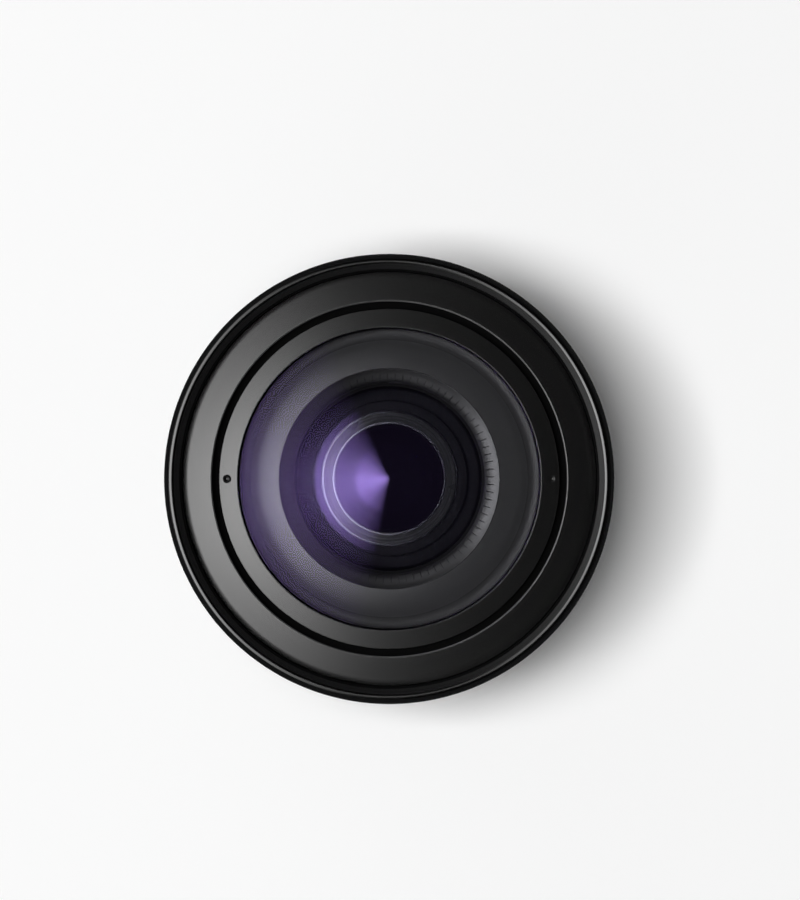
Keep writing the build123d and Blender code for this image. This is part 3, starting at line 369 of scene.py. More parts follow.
def finish(name, colour, roughness, metal=0.0, grain=0.3, grain_depth=0.004, rings=0.0, ring_depth=0.0,
           mottle=0.12, uneven=0.06, specular=0.5, coat=0.0, sheen=0.0):
    """A solid finish: a colour that varies a little, a grain, and turning rings where the piece is turned."""
    material = bpy.data.materials.new(name)
    material.use_nodes = True
    tree = material.node_tree
    shader = tree.nodes["Principled BSDF"]
    place = wire(tree, "ShaderNodeTexCoord").outputs["Object"]
    patches = grain_marks(tree, place, finish_patch_size)
    fine = grain_marks(tree, place, grain)
    share = maths(tree, "MULTIPLY", maths(tree, "ADD", patches, fine), 0.5)
    dark = [c * (1 - mottle) for c in colour] + [1.0]
    pale = [c * (1 + mottle) for c in colour] + [1.0]
    tone = wire(tree, "ShaderNodeMix", {"Factor": share, 6: dark, 7: pale}, data_type="RGBA").outputs[2]
    tree.links.new(tone, shader.inputs["Base Color"])
    rough = patches
    height = maths(tree, "MULTIPLY", fine, grain_depth * MM)
    if rings:
        lines = ring_marks(tree, place, rings)
        height = maths(tree, "ADD", height, maths(tree, "MULTIPLY", lines, ring_depth * MM))
        rough = lines
    tree.links.new(spread(tree, rough, roughness - uneven, roughness + uneven), shader.inputs["Roughness"])
    bump = wire(tree, "ShaderNodeBump", {"Height": height, "Strength": 1.0, "Distance": 1.0})
    tree.links.new(bump.outputs["Normal"], shader.inputs["Normal"])
    shader.inputs["Metallic"].default_value = metal
    shader.inputs["Specular IOR Level"].default_value = specular
    shader.inputs["Coat Weight"].default_value = coat
    shader.inputs["Sheen Weight"].default_value = sheen
    return material


def coated(name, tint, share, clear=(0.97, 0.97, 0.985), haze=None):
    """Coated glass: it lets the view through and mirrors a share of the light in the tint of its coating.

    A faint haze stands for the dust and the stray light inside the lens.
    """
    material = bpy.data.materials.new(name)
    material.use_nodes = True
    tree = material.node_tree
    tree.nodes.clear()
    place = wire(tree, "ShaderNodeTexCoord").outputs["Object"]
    patches = grain_marks(tree, place, coating_patch_size)
    deep = [c * coating_patch_tint for c in tint] + [1.0]
    hue = wire(tree, "ShaderNodeMix", {"Factor": patches, 6: deep, 7: (*tint, 1.0)},
               data_type="RGBA").outputs[2]
    mirror = wire(tree, "ShaderNodeBsdfGlossy", {"Color": hue, "Roughness": coating_roughness})
    through = wire(tree, "ShaderNodeBsdfTransparent", {"Color": (*clear, 1.0)})
    slant = wire(tree, "ShaderNodeLayerWeight", {"Blend": coating_blend}).outputs["Facing"]
    amount = spread(tree, maths(tree, "POWER", slant, coating_power), share, coating_steep_share)
    mixed = wire(tree, "ShaderNodeMixShader", {0: amount, 1: through.outputs[0], 2: mirror.outputs[0]})
    if haze:
        veil = wire(tree, "ShaderNodeBsdfDiffuse", {"Color": (*haze, 1.0)})
        mixed = wire(tree, "ShaderNodeAddShader", {0: mixed.outputs[0], 1: veil.outputs[0]})
    wire(tree, "ShaderNodeOutputMaterial", {"Surface": mixed.outputs[0]})
    return material


violet = (0.50, 0.33, 1.0)
# Painted shade: the deeper glass lets only about a third of the light through, so the inside of the lens
# stays dark.
shade_tint = (0.34, 0.33, 0.37)
violet_haze = (0.0050, 0.0036, 0.0075)
finishes = {
    "shell_black": finish("shell_black", (0.020, 0.0205, 0.0215), 0.42, grain=0.22, grain_depth=0.010),
    "rim_black": finish("rim_black", (0.0035, 0.0035, 0.0037), 0.28, grain=0.15, grain_depth=0.0006,
                        rings=9.0, ring_depth=0.0004, uneven=0.03, specular=0.35),
    "bezel_satin": finish("bezel_satin", (0.110, 0.110, 0.110), 0.26, metal=1.0, grain=0.10,
                          grain_depth=0.0001, mottle=0.02, uneven=0.01),
    "cell_black": finish("cell_black", (0.022, 0.022, 0.022), 0.30, grain=0.12, grain_depth=0.0005,
                         rings=10.0, ring_depth=0.0003, mottle=0.04, uneven=0.02, specular=0.73),
    "grip_rubber": finish("grip_rubber", (0.018, 0.018, 0.0185), 0.62, grain=0.18, grain_depth=0.012,
                          sheen=0.15),
    "mount_metal": finish("mount_metal", (0.70, 0.70, 0.71), 0.24, metal=1.0, grain=0.2, grain_depth=0.0008,
                          rings=12.0, ring_depth=0.0015, mottle=0.05, uneven=0.05),
    "screw_steel": finish("screw_steel", (0.55, 0.55, 0.56), 0.28, metal=1.0, grain=0.1, grain_depth=0.001),
    "contact_plastic": finish("contact_plastic", (0.022, 0.022, 0.023), 0.5, grain=0.2, grain_depth=0.006),
    "contact_gold": finish("contact_gold", (0.83, 0.62, 0.27), 0.22, metal=1.0, grain=0.1, grain_depth=0.001),
    "seal_rubber": finish("seal_rubber", (0.018, 0.018, 0.018), 0.66, grain=0.2, grain_depth=0.008,
                          sheen=0.1),
    "chassis_alloy": finish("chassis_alloy", (0.30, 0.30, 0.31), 0.5, metal=1.0, grain=0.4,
                            grain_depth=0.015),
    "board_green": finish("board_green", (0.02, 0.12, 0.06), 0.35, grain=0.5, grain_depth=0.004, coat=0.3),
    "barrel_black": finish("barrel_black", (0.020, 0.020, 0.021), 0.38, grain=0.15, grain_depth=0.002,
                           rings=6.0, ring_depth=0.003),
    "cam_metal": finish("cam_metal", (0.16, 0.16, 0.165), 0.4, metal=1.0, grain=0.2, grain_depth=0.003,
                        rings=5.0, ring_depth=0.003),
    "pin_brass": finish("pin_brass", (0.72, 0.55, 0.25), 0.3, metal=1.0, grain=0.1, grain_depth=0.001),
    "blade_black": finish("blade_black", (0.010, 0.010, 0.011), 0.45, grain=0.1, grain_depth=0.002),
    "carriage_black": finish("carriage_black", (0.006, 0.006, 0.0065), 0.45, grain=0.15, grain_depth=0.003,
                             rings=6.0, ring_depth=0.003, specular=0.12),
    "motor_steel": finish("motor_steel", (0.45, 0.45, 0.47), 0.35, metal=1.0, grain=0.2, grain_depth=0.002),
    "rod_steel": finish("rod_steel", (0.62, 0.62, 0.63), 0.22, metal=1.0, grain=0.1, grain_depth=0.001),
    "panel_black": finish("panel_black", (0.028, 0.028, 0.030), 0.5, grain=0.16, grain_depth=0.008),
    "switch_black": finish("switch_black", (0.045, 0.045, 0.048), 0.4, grain=0.2, grain_depth=0.003),
    "coated_glass": coated("coated_glass", violet, 0.0120),
    # The deeper elements' glass carries the painted shade.
    "glass": coated("glass", (0.75, 0.62, 1.0), 0.006, shade_tint),
}
strong_coating = coated("strong_coating", violet, 0.037)
faint_coating = coated("faint_coating", (0.6, 0.42, 1.0), 0.0053, haze=violet_haze)
# Painted reflection: a much stronger mirror share, with the haze, for the bright disc in the middle of the
# variator's front face.
reflection_disc_coating = coated("reflection_disc_coating", violet, 0.037, haze=violet_haze)
rosy_coating = coated("rosy_coating", (0.85, 0.52, 1.0), 0.0117)
bare_glass = coated("bare_glass", (0.7, 0.7, 1.0), 0.0008)
edge_paint = finish("edge_paint", (0.006, 0.006, 0.006), 0.6, grain=0.2, grain_depth=0.004)
scale_white = finish("scale_white", (0.80, 0.80, 0.78), 0.5, grain=0.1, grain_depth=0.002, mottle=0.03)
# Painted shade: a near-black with almost no shine on the thread, the deep grooves, the bores and the thin rim
# of the funnel. It stands in for the shade that falls in them.
painted_shade_black = finish("painted_shade_black", (0.0018, 0.0018, 0.0019), 0.55, grain=0.12, grain_depth=0.002,
                      specular=0.03)
lip_metal = finish("lip_metal", (0.047, 0.047, 0.047), 0.13, metal=1.0, grain=0.10, grain_depth=0.0001,
                   mottle=0.03, uneven=0.01)
flange_black = finish("flange_black", (0.0048, 0.0048, 0.005), 0.45, grain=0.15, grain_depth=0.001,
                      specular=0.03)
ring_satin = finish("ring_satin", (0.018, 0.0185, 0.0175), 0.28, grain=0.12, grain_depth=0.0003, mottle=0.04,
                    uneven=0.02, specular=0.43)
hole_satin = finish("hole_satin", (0.06, 0.06, 0.06), 0.24, metal=1.0, grain=0.10, grain_depth=0.0001,
                    mottle=0.03, uneven=0.01)
edge_satin = finish("edge_satin", (0.15, 0.15, 0.16), 0.25, metal=1.0, grain=0.10, grain_depth=0.0001,
                    mottle=0.03, uneven=0.01)
cove_black = finish("cove_black", (0.020, 0.020, 0.020), 0.30, grain=0.12, grain_depth=0.0005, mottle=0.04,
                    uneven=0.02, specular=0.22)
funnel_satin = finish("funnel_satin", (0.135, 0.135, 0.135), 0.36, metal=1.0, grain=0.12, grain_depth=0.0005,
                      mottle=0.04, uneven=0.02)
throat_black = finish("throat_black", (0.008, 0.008, 0.008), 0.35, grain=0.12, grain_depth=0.0005, rings=8.0,
                      ring_depth=0.002, mottle=0.04, uneven=0.03, specular=0.3)


# Making pieces

def linked(name, data):
    """A new object in the scene."""
    piece = bpy.data.objects.new(name, data)
    bpy.context.collection.objects.link(piece)
    return piece


def point_at(out, angle, height):
    """The point at a radius, an angle and a height."""
    return Vector((out * math.cos(angle), out * math.sin(angle), height)) * MM


def settle(piece):
    """Makes a piece's modifiers part of its mesh."""
    bpy.context.view_layer.update()
    mesh = bpy.data.meshes.new_from_object(piece.evaluated_get(bpy.context.evaluated_depsgraph_get()))
    piece.modifiers.clear()
    piece.data = mesh
    mesh.name = piece.name


def shade(piece):
    """Gives smooth curves and sharp edges, with flat faces kept flat next to their rounded edges."""
    piece.data.shade_smooth()
    piece.data.set_sharp_from_angle(angle=sharp_angle)
    level = piece.modifiers.new("level", "WEIGHTED_NORMAL")
    level.keep_sharp = True
    level.weight = 100
    settle(piece)


def placed(name, mesh, body, slot, stands_for=(), material=None):
    """A finished piece: its material, the body it rides on, and the nodes it stands for."""
    piece = linked(name, mesh)
    if not mesh.materials:
        mesh.materials.append(material or finishes[slot])
    shade(piece)
    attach(piece, body)
    if stands_for:
        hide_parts(*stands_for)
    return piece


def runs_of(corners):
    """A closed outline with its rounds and bends drawn out. It goes round its inside on the left."""
    points = []
    count = len(corners)
    for i, corner in enumerate(corners):
        here, before, after = (Vector(corners[j % count][:2]) for j in (i, i - 1, i + 1))
        round_radius = corner[2] if len(corner) > 2 else 0.0
        bend = corner[3] if len(corner) > 3 else 0.0
        way_in, way_out = (here - before).normalized(), (after - here).normalized()
        turn = math.atan2(way_in.cross(way_out), way_in.dot(way_out))
        if round_radius and abs(turn) > round_step / 2:
            side = math.copysign(1.0, turn)
            start = here - way_in * round_radius * math.tan(abs(turn) / 2)
            out = Vector((way_in.y, -way_in.x)) * side
            centre = start - out * round_radius
            steps = max(2, math.ceil(abs(turn) / round_step))
            points += [centre + Matrix.Rotation(turn * s / steps, 2) @ out * round_radius
                       for s in range(steps + 1)]
        else:
            points.append(here)
        if bend:
            chord = after - here
            side = math.copysign(1.0, bend)
            out = Vector((way_out.y, -way_out.x)) * side
            centre = (here + after) / 2 - out * math.sqrt(bend * bend - chord.length_squared / 4)
            first, last = here - centre, after - centre
            turn = math.atan2(first.cross(last), first.dot(last))
            steps = max(2, math.ceil(abs(turn) / bend_step))
            points += [centre + Matrix.Rotation(turn * s / steps, 2) @ first for s in range(1, steps)]
    return points


def closed_mesh(name, vertices, faces):
    """A closed mesh whose faces point outwards."""
    mesh = bpy.data.meshes.new(name)
    mesh.from_pydata(vertices, [], faces)
    work = bmesh.new()
    work.from_mesh(mesh)
    bmesh.ops.remove_doubles(work, verts=work.verts, dist=same_point * MM)
    bmesh.ops.recalc_face_normals(work, faces=work.faces)
    if work.calc_volume(signed=True) < 0:
        bmesh.ops.reverse_faces(work, faces=work.faces)
    work.to_mesh(mesh)
    work.free()
    return mesh


def tube_mesh(name, points, count):
    """A closed mesh over rows of points, each as long as the count, with a face on the first and last row."""
    faces = []
    last = len(points) - count
    for a in range(0, last, count):
        b = a + count
        faces += [(a + k, a + (k + 1) % count, b + (k + 1) % count, b + k) for k in range(count)]
    return closed_mesh(name, points, faces + [tuple(range(count))[::-1], tuple(range(last, len(points)))])


def turned_mesh(name, corners, steps=steps_round):
    """A turned solid from its outline.

    A corner is a radius and a height, then its round and the bend after it.
    """
    outline = runs_of(corners)
    vertices, rows = [], []
    for point in outline:
        if point.x < 1e-6:
            rows.append([len(vertices)] * steps)
            vertices.append(Vector((0, 0, point.y)) * MM)
            continue
        rows.append([len(vertices) + s for s in range(steps)])
        vertices += [point_at(point.x, 2 * math.pi * s / steps, point.y) for s in range(steps)]
    faces = []
    for near, far in zip(rows, rows[1:] + rows[:1]):
        if near[0] == near[1] and far[0] == far[1]:
            continue
        for s in range(steps):
            n = (s + 1) % steps
            loop = [near[s], near[n], far[n], far[s]]
            faces.append([v for k, v in enumerate(loop) if v != loop[k - 1]])
    return closed_mesh(name, vertices, faces)


def turned(name, corners, body, slot, stands_for):
    """A turned piece of one finish."""
    placed(name, turned_mesh(name, corners), body, slot, stands_for)


def banded(mesh, bands):
    """A turned mesh whose bands have finishes of their own.

    A band is two radii, two heights and its finish.
    """
    for *_, material in bands:
        if material.name not in [m.name for m in mesh.materials]:
            mesh.materials.append(material)
    for face in mesh.polygons:
        out, height = face.center.xy.length / MM, face.center.z / MM
        for inside, outside, low, high, material in bands:
            if inside < out < outside and low < height < high:
                face.material_index = mesh.materials.find(material.name)
    return mesh


def refined(name, node, body, slot, edge=0.1):
    """A CAD node's own shape with its edges broken, for pieces with holes and slots."""
    mesh = frame["nodes"][node].data.copy()
    mesh.name = name
    mesh.materials.clear()
    work = bmesh.new()
    work.from_mesh(mesh)
    bmesh.ops.remove_doubles(work, verts=work.verts, dist=weld_distance * MM)
    bmesh.ops.dissolve_limit(work, angle_limit=flat_angle, verts=work.verts, edges=work.edges)
    edges = [e for e in work.edges if len(e.link_faces) == 2 and e.calc_face_angle() > broken_angle]
    if edges:
        bmesh.ops.bevel(work, geom=edges, offset=edge * MM, segments=2, profile=0.5, affect="EDGES",
                        clamp_overlap=True)
    bmesh.ops.recalc_face_normals(work, faces=work.faces)
    work.to_mesh(mesh)
    work.free()
    placed(name, mesh, body, slot, [node])


def dressed(node, slot):
    """A CAD node that keeps its own mesh gets a finish."""
    piece = frame["nodes"][node]
    piece.data.materials.clear()
    piece.data.materials.append(finishes[slot])


# Repeated shapes

def round_axis_tree():
    """Geometry nodes that repeat a shape round the lens axis."""
    tree = bpy.data.node_groups.new("repeat_round_axis", "GeometryNodeTree")
    for name, kind in (("Geometry", "NodeSocketGeometry"), ("Count", "NodeSocketInt"),
                       ("First angle", "NodeSocketFloat"), ("Step angle", "NodeSocketFloat"),
                       ("Finish", "NodeSocketMaterial")):
        tree.interface.new_socket(name, in_out="INPUT", socket_type=kind)
    tree.interface.new_socket("Geometry", in_out="OUTPUT", socket_type="NodeSocketGeometry")
    given = wire(tree, "NodeGroupInput").outputs
    points = wire(tree, "GeometryNodePoints", {"Count": given["Count"]}).outputs[0]
    index = wire(tree, "GeometryNodeInputIndex").outputs[0]
    turned_by = maths(tree, "MULTIPLY_ADD", index, given["Step angle"], given["First angle"])
    turn = wire(tree, "ShaderNodeCombineXYZ", {"Z": turned_by}).outputs[0]
    copies = wire(tree, "GeometryNodeInstanceOnPoints",
                  {"Points": points, "Instance": given["Geometry"], "Rotation": turn}).outputs[0]
    real = wire(tree, "GeometryNodeRealizeInstances", {"Geometry": copies}).outputs[0]
    painted = wire(tree, "GeometryNodeSetMaterial",
                   {"Geometry": real, "Material": given["Finish"]}).outputs[0]
    wire(tree, "NodeGroupOutput", {"Geometry": painted})
    return tree


round_axis = round_axis_tree()


def around(name, mesh, count, body, slot, first=0.0, material=None):
    """Copies of a mesh round the axis, as one piece."""
    piece = linked(name, mesh)
    repeat = piece.modifiers.new("repeat", "NODES")
    repeat.node_group = round_axis
    given = {"Count": count, "First angle": math.radians(first),
             "Step angle": math.radians(360 / count), "Finish": material or finishes[slot]}
    for socket in round_axis.interface.items_tree:
        if socket.in_out == "INPUT" and socket.name in given:
            repeat[socket.identifier] = given[socket.name]
    settle(piece)
    result = piece.data
    bpy.data.objects.remove(piece)
    placed(name, result, body, slot, material=material)


def cut(mesh, cutters):
    """A mesh with holes cut in it, whose walls take the cutter's finish."""
    piece = linked(mesh.name, mesh)
    cutter = linked("cutter", cutters)
    drill = piece.modifiers.new("drill", "BOOLEAN")
    drill.object = cutter
    drill.operation = "DIFFERENCE"
    drill.solver = "EXACT"
    drill.material_mode = "TRANSFER"
    settle(piece)
    result = piece.data
    bpy.data.objects.remove(piece)
    bpy.data.objects.remove(cutter)
    return result


# Front rings, front cell and lens elements

def front_ring():
    """The rim: a step, a lip with a shallow ridge on top, and the sloped lead into the filter thread."""
    low = bottom("front_ring")
    web_top = bottom("front_bezel")
    web_low = top("front_tube")
    tube = radius("front_tube")
    step_height = rim_top - rim_step
    lip = rim_radius - lip_inset
    groove_edge = lip + lip_groove_width
    groove_floor = step_height - lip_groove_depth
    bead = rim_top - bead_drop
    mesh = turned_mesh("front_rim", [
        (tube, low), (rim_radius, low, edge_round), (rim_radius, step_height, rim_step_round),
        (groove_edge, step_height, lip_groove_round), (groove_edge - lip_groove_slope, groove_floor),
        (lip, groove_floor), (lip, bead - bead_shoulder), (lip - bead_outside, bead, 0, bead_bend),
        (lip - bead_inside, bead), (lip - lead_high[0], rim_top - lead_high[1], lead_round),
        (lip - lead_low[0], rim_top - lead_low[1], lead_round), (thread_root, thread_top + lead_end),
        (thread_root, web_top), (web_bore, web_top), (web_bore, web_low), (tube, web_low),
    ])
    mesh.materials.append(finishes["rim_black"])
    banded(mesh, [
        (lip - 0.02, rim_radius - 0.05, step_height - 0.5, rim_top, flange_black),
        (lip - bead_inside + 0.01, lip - bead_outside, rim_top - margin, rim_top + margin, lip_metal),
        # painted shade on the thread's root wall and the web under it
        (web_bore - margin, thread_root + margin, web_low, thread_top + 0.05, painted_shade_black),
    ])
    placed("front_rim", mesh, "front_group", "rim_black", ["front_ring"])


def filter_thread():
    """The thread inside the rim: one ridge that winds down from its start at the spanner holes' line."""
    turns = thread_length / thread_pitch - thread_run_out
    steps = int(turns * steps_round)
    half = thread_land / 2
    flank = (thread_pitch - thread_land) / 2 - thread_gap
    sunk = thread_root + thread_sunk
    depth = thread_root - thread_crest
    points = []
    for s in range(steps + 1):
        angle = -2 * math.pi * s / steps_round
        middle = thread_top - half - thread_pitch * s / steps_round
        proud = min(1.0, s / thread_fade_steps, (steps - s) / thread_fade_steps) * depth
        crest = thread_root - max(proud, thread_least)
        for out, up in ((sunk, flank + half), (sunk, -flank - half), (crest, -half), (crest, half)):
            points.append(point_at(out, angle, middle + up))
    mesh = tube_mesh("filter_thread", points, 4)
    # The thread takes the painted shade finish, a near-black that stands in for the shade inside the rim.
    placed("filter_thread", mesh, "front_group", "rim_black", material=painted_shade_black)


def front_bezel():
    """The shallow cone between the thread and the groove, whose outer edge rolls down to the thread."""
    low, high, out = extent("front_bezel")
    turned("front_bezel_ring", [
        (bezel_bore, low), (out, low), (out, high - bezel_fall, bezel_outer_round),
        (bezel_bore + bezel_land, high, bezel_inner_round), (bezel_bore, high - bezel_land, crisp_round),
    ], "front_group", "bezel_satin", ["front_bezel"])


def spanner_holes(level):
    """Cutters for the two holes of the front retainer, each with a round floor."""
    tool = turned_mesh("spanner_holes", [
        (0, level - spanner_depth, 0, spanner_bend), (spanner_hole, level - spanner_wall),
        (spanner_hole, level + spanner_reach), (0, level + spanner_reach),
    ], spanner_steps)
    work = bmesh.new()
    for side in (-1, 1):
        copy = tool.copy()
        copy.transform(Matrix.Translation((side * spanner_circle * MM, 0, 0)))
        work.from_mesh(copy)
    work.to_mesh(tool)
    work.free()
    tool.materials.append(hole_satin)
    return tool


def front_retainer():
    """The ring round the front element, with two blind holes for a spanner."""
    low, high, out = extent("front_retainer")
    skirt = out - retainer_skirt
    bore = out - retainer_width
    underside = high - retainer_thickness
    side_top = high - retainer_side
    mesh = turned_mesh("front_retainer_ring", [
        (bore, underside), (skirt, underside), (skirt, low), (out, low), (out, side_top, crisp_round),
        (out - retainer_round, high - retainer_fall, retainer_round),
        (bore + retainer_inset, high, retainer_round), (bore, side_top, crisp_round),
    ])
    mesh.materials.append(finishes["bezel_satin"])
    drilled = cut(mesh, spanner_holes(high))
    placed("front_retainer_ring", drilled, "front_group", "bezel_satin", ["front_retainer"])


def front_cell():
    """The cell behind the front element: its seat, the coved shelf and the bore of the inner pair."""
    glass_out = radius("front_lens")
    seat = top("front_lens") - front_thickness - sag(-front_bends[1], glass_out)
    skirt = radius("front_retainer") - cell_skirt
    skirt_top = bottom("front_retainer") + cell_rim
    groove_floor = top("front_bezel") - cell_groove
    web_low = top("front_tube")
    tube_bore = radius("front_tube") - cell_step
    low = bottom("front_cell")
    shelf = top("inner_retainer") + shelf_gap
    shelf_edge = shelf - shelf_fall
    wall_low = shelf - cell_wall
    wall_out = shelf_bore + cell_wall
    seat_bore = glass_out - seat_width
    pair = radius("second_lens")
    pair_bore = pair - pair_lip
    mesh = turned_mesh("front_cell_body", [
        (pair_bore, low), (wall_out, low), (wall_out, wall_low, cell_wall_round),
        (skirt, wall_low, cell_wall_round), (skirt, groove_floor - cell_web),
        (tube_bore, groove_floor - cell_web), (tube_bore, web_low), (web_bore, web_low),
        (web_bore, groove_floor), (skirt, groove_floor), (skirt, skirt_top), (glass_out, skirt_top),
        (glass_out, seat), (seat_bore, seat, seat_round), (seat_bore, shelf_edge, 0, -cove_bend),
        (seat_bore - cove_width, shelf_edge, 0, shelf_bend), (shelf_bore, shelf),
        (shelf_bore, bottom("inner_retainer")), (pair, bottom("inner_retainer")),
        (pair, low + pair_lip_height), (pair_bore, low + pair_lip_height),
    ])
    mesh.materials.append(finishes["cell_black"])
    banded(mesh, [
        # painted shade in the groove, round the seat and in the bore under the shelf
        (skirt - margin, web_bore + margin, groove_floor - margin, web_low, painted_shade_black),
        (seat_bore - margin, skirt - margin, seat - margin, web_low + 2.0, painted_shade_black),
        (0.0, shelf_bore + margin, low - margin, shelf - margin, painted_shade_black),
        (seat_bore - cove_width, seat_bore + 0.05, shelf_edge - 1.0, seat - margin, cove_black),
    ])
    placed("front_cell_body", mesh, "front_group", "cell_black", ["front_cell"])


def sag(bend, out):
    """How far a surface of a signed bend falls back at a radius."""
    return bend - math.copysign(math.sqrt(bend * bend - out * out), bend)


def element(name, node, body, slot, bends, front_coating, back_coating=None):
    """A lens element in place of its node: a coating on each face, and an edge that is painted black."""
    front_bend, back_bend = bends
    out = radius(node)
    front = top(node) if front_bend > 0 else top(node) + sag(front_bend, out)
    back = bottom(node) if back_bend > 0 else bottom(node) - sag(back_bend, out)
    front, back = front - face_gap, back + face_gap
    front_edge, back_edge = front - sag(front_bend, out), back + sag(back_bend, out)
    mesh = turned_mesh(name, [
        (0, back, 0, back_bend), (out - edge_bevel, back_edge), (out, back_edge + edge_bevel),
        (out, front_edge - edge_bevel), (out - edge_bevel, front_edge, 0, front_bend), (0, front),
    ])
    for coating in (front_coating, back_coating or bare_glass, edge_paint):
        mesh.materials.append(coating)
    for face in mesh.polygons:
        on_edge = abs(face.normal.z) < edge_steepness
        face.material_index = 2 if on_edge else 0 if face.normal.z > 0 else 1
    return placed(name, mesh, body, slot, [node])


def inner_retainer():
    """The trumpet-shaped ring round the inner pair, with fine flutes."""
    low, high, out = extent("inner_retainer")
    throat = low + funnel_throat
    lip = out - funnel_lip
    mesh = turned_mesh("funnel", [
        (inner_bore, low), (out, low), (out, high), (lip, high, 0, funnel_bend), (inner_bore, throat),
    ])
    mesh.materials.append(funnel_satin)
    banded(mesh, [(0.0, inner_bore + throat_zone, low - margin, high, throat_black),
                  # painted shade on the funnel's rim, beside the gap to the shelf
                  (lip, out, high - margin, high + margin, painted_shade_black)])
    placed("funnel", mesh, "front_group", "cell_black", ["inner_retainer"])
    slope = [p for p in runs_of([(lip, high, 0, funnel_bend), (inner_bore, throat)])
             if inner_bore + flute_inset < p.x < out - flute_inset]
    around("funnel_flutes", flute_mesh(slope), flute_count, "front_group", "cell_black", first=flute_start,
           material=funnel_satin)


def flute_mesh(slope):
    """One fine flute that runs down the funnel's slope."""
    points = []
    for row, point in enumerate(slope):
        proud = flute_height if 0 < row < len(slope) - 1 else 0.0
        for across, up in ((-flute_width, -flute_root), (0.0, proud), (flute_width, -flute_root)):
            points.append(Vector((point.x - up * flute_lean, across, point.y + up * flute_lean)) * MM)
    return tube_mesh("flute", points, 3)


def variator_retainer():
    """The ring in front of the variator, with two fine grooves in its face and bright edges."""
    low, high, out = extent("variator_retainer")
    bore = out - ring_width

    def face(inwards):
        """The height of the ring's face, which falls outwards."""
        return high - ring_drop - ring_fall * (ring_width - inwards)

    edge = face(ring_width - ring_bevel)
    mesh = turned_mesh("variator_ring", [
        (bore + ring_base_inset, low), (out, low), (out, face(0.0) - ring_side, ring_side_round),
        (out - ring_bevel, face(ring_bevel), ring_outer_round),
        *((out - inwards, face(inwards) - sunk) for inwards, sunk in ring_face),
        (bore + ring_inner_edge, face(ring_width - ring_inner_edge)),
        (bore + ring_bevel, edge, ring_inner_round), (bore, edge - ring_side, ring_side_round),
        (bore, edge - ring_bore_drop),
    ])
    mesh.materials.append(ring_satin)
    banded(mesh, [
        (out - ring_outer_edge, out, high - 1.0, high, edge_satin),
        (bore, bore + ring_inner_edge, high - margin, high, edge_satin),
    ])
    placed("variator_ring", mesh, "variator_group", "cell_black", ["variator_retainer"])


# Barrels, rings and grips

def sleeve(name, node, body, front_band, rear_band):
    """A ring's carrier, with a full-height band at each end."""
    low, high = bottom(node), top(node)
    bore = barrel_radius + barrel_gap
    seat_low, seat_high = low + rear_band, high - front_band
    turned(name, [
        (bore, low), (band_radius, low, edge_round), (band_radius, seat_low, fine_round),
        (grip_seat, seat_low), (grip_seat, seat_high), (band_radius, seat_high, fine_round),
        (band_radius, high, edge_round), (bore, high),
    ], body, "shell_black", [node])


def grip(name, node, body):
    """A rubber grip: its base with a raised band at each end, and rounded ribs."""
    low, high = bottom(node), top(node)
    valley = grip_radius - rib_depth
    band = valley + grip_end_rise
    turned(name + "_base", [
        (grip_seat, low), (band, low, edge_round), (band, low + grip_end, grip_end_round),
        (valley, low + grip_end, grip_valley_round), (valley, high - grip_end, grip_valley_round),
        (band, high - grip_end, grip_end_round), (band, high, edge_round), (grip_seat, high),
    ], body, "grip_rubber", [node])
    ribs = rib_mesh(valley, low + rib_inset, high - rib_inset)
    around(name + "_ribs", ribs, rib_count, body, "grip_rubber")


def rib_mesh(valley, low, high):
    """One rib of a grip, with rounded shoulders and ends.

    The section holds shares of the rib's half width and heights over the valley. The levels hold heights
    along the grip and the share of the rib's height that it has there.
    """
    half = math.pi * valley / rib_count
    section = [(-0.96, -0.15), (-0.96, 0.02), (-0.80, 0.20), (-0.66, 0.46), (-0.54, 0.56), (-0.36, 0.595),
               (0, rib_depth)]
    section += [(-u, h) for u, h in reversed(section[:-1])]
    levels = [(low, 0.0), (low + 0.08, 0.45), (low + 0.3, 0.86), (low + 0.6, 1.0)]
    levels += [(low + high - z, share) for z, share in reversed(levels)]
    points = [point_at(valley + (h * share if h > 0 else h), u * half / valley, z)
              for z, share in levels for u, h in section]
    return tube_mesh("rib", points, len(section))


def index_ring():
    """The fixed ring between the two turning rings, with the index line."""
    low, high = bottom("index_ring"), top("index_ring")
    turned("index_band", [
        (barrel_radius, low), (band_radius, low, edge_round), (band_radius, high, edge_round),
        (barrel_radius, high),
    ], "body", "shell_black", ["index_ring"])
    painted_line("index_line", "body", index_angle, index_width, low + index_inset, high - index_inset)


def front_collar():
    """The fixed collar round the moving tube."""
    low, high = bottom("front_collar"), top("front_collar")
    turned("front_collar_ring", [
        (barrel_radius, low), (band_radius, low, edge_round), (band_radius, high, edge_round),
        (barrel_bore, high, fine_round), (barrel_bore, high - collar_wall),
        (barrel_radius, high - collar_wall),
    ], "body", "shell_black", ["front_collar"])


def mount_seal():
    """The rubber lip round the flange."""
    low, high, out = extent("mount_seal")
    turned("seal_lip", [
        (out - seal_width, high), (out - seal_width, low + seal_thickness, seal_inner_round),
        (out, low, seal_outer_round), (out, high),
    ], "body", "seal_rubber", ["mount_seal"])


# Painted marks

def painted_line(name, body, middle, width, low, high):
    """A thin painted line on a barrel's band, round which it bends."""
    inside, outside = band_radius - paint_sunk, band_radius + paint_proud
    half = width / 2 / band_radius
    steps = max(2, math.ceil(width / paint_step))
    points = [point_at(out, math.radians(middle) - half + 2 * half * s / steps, height)
              for s in range(steps + 1)
              for out, height in ((inside, low), (outside, low), (outside, high), (inside, high))]
    placed(name, tube_mesh(name, points, 4), body, "shell_black", material=scale_white)


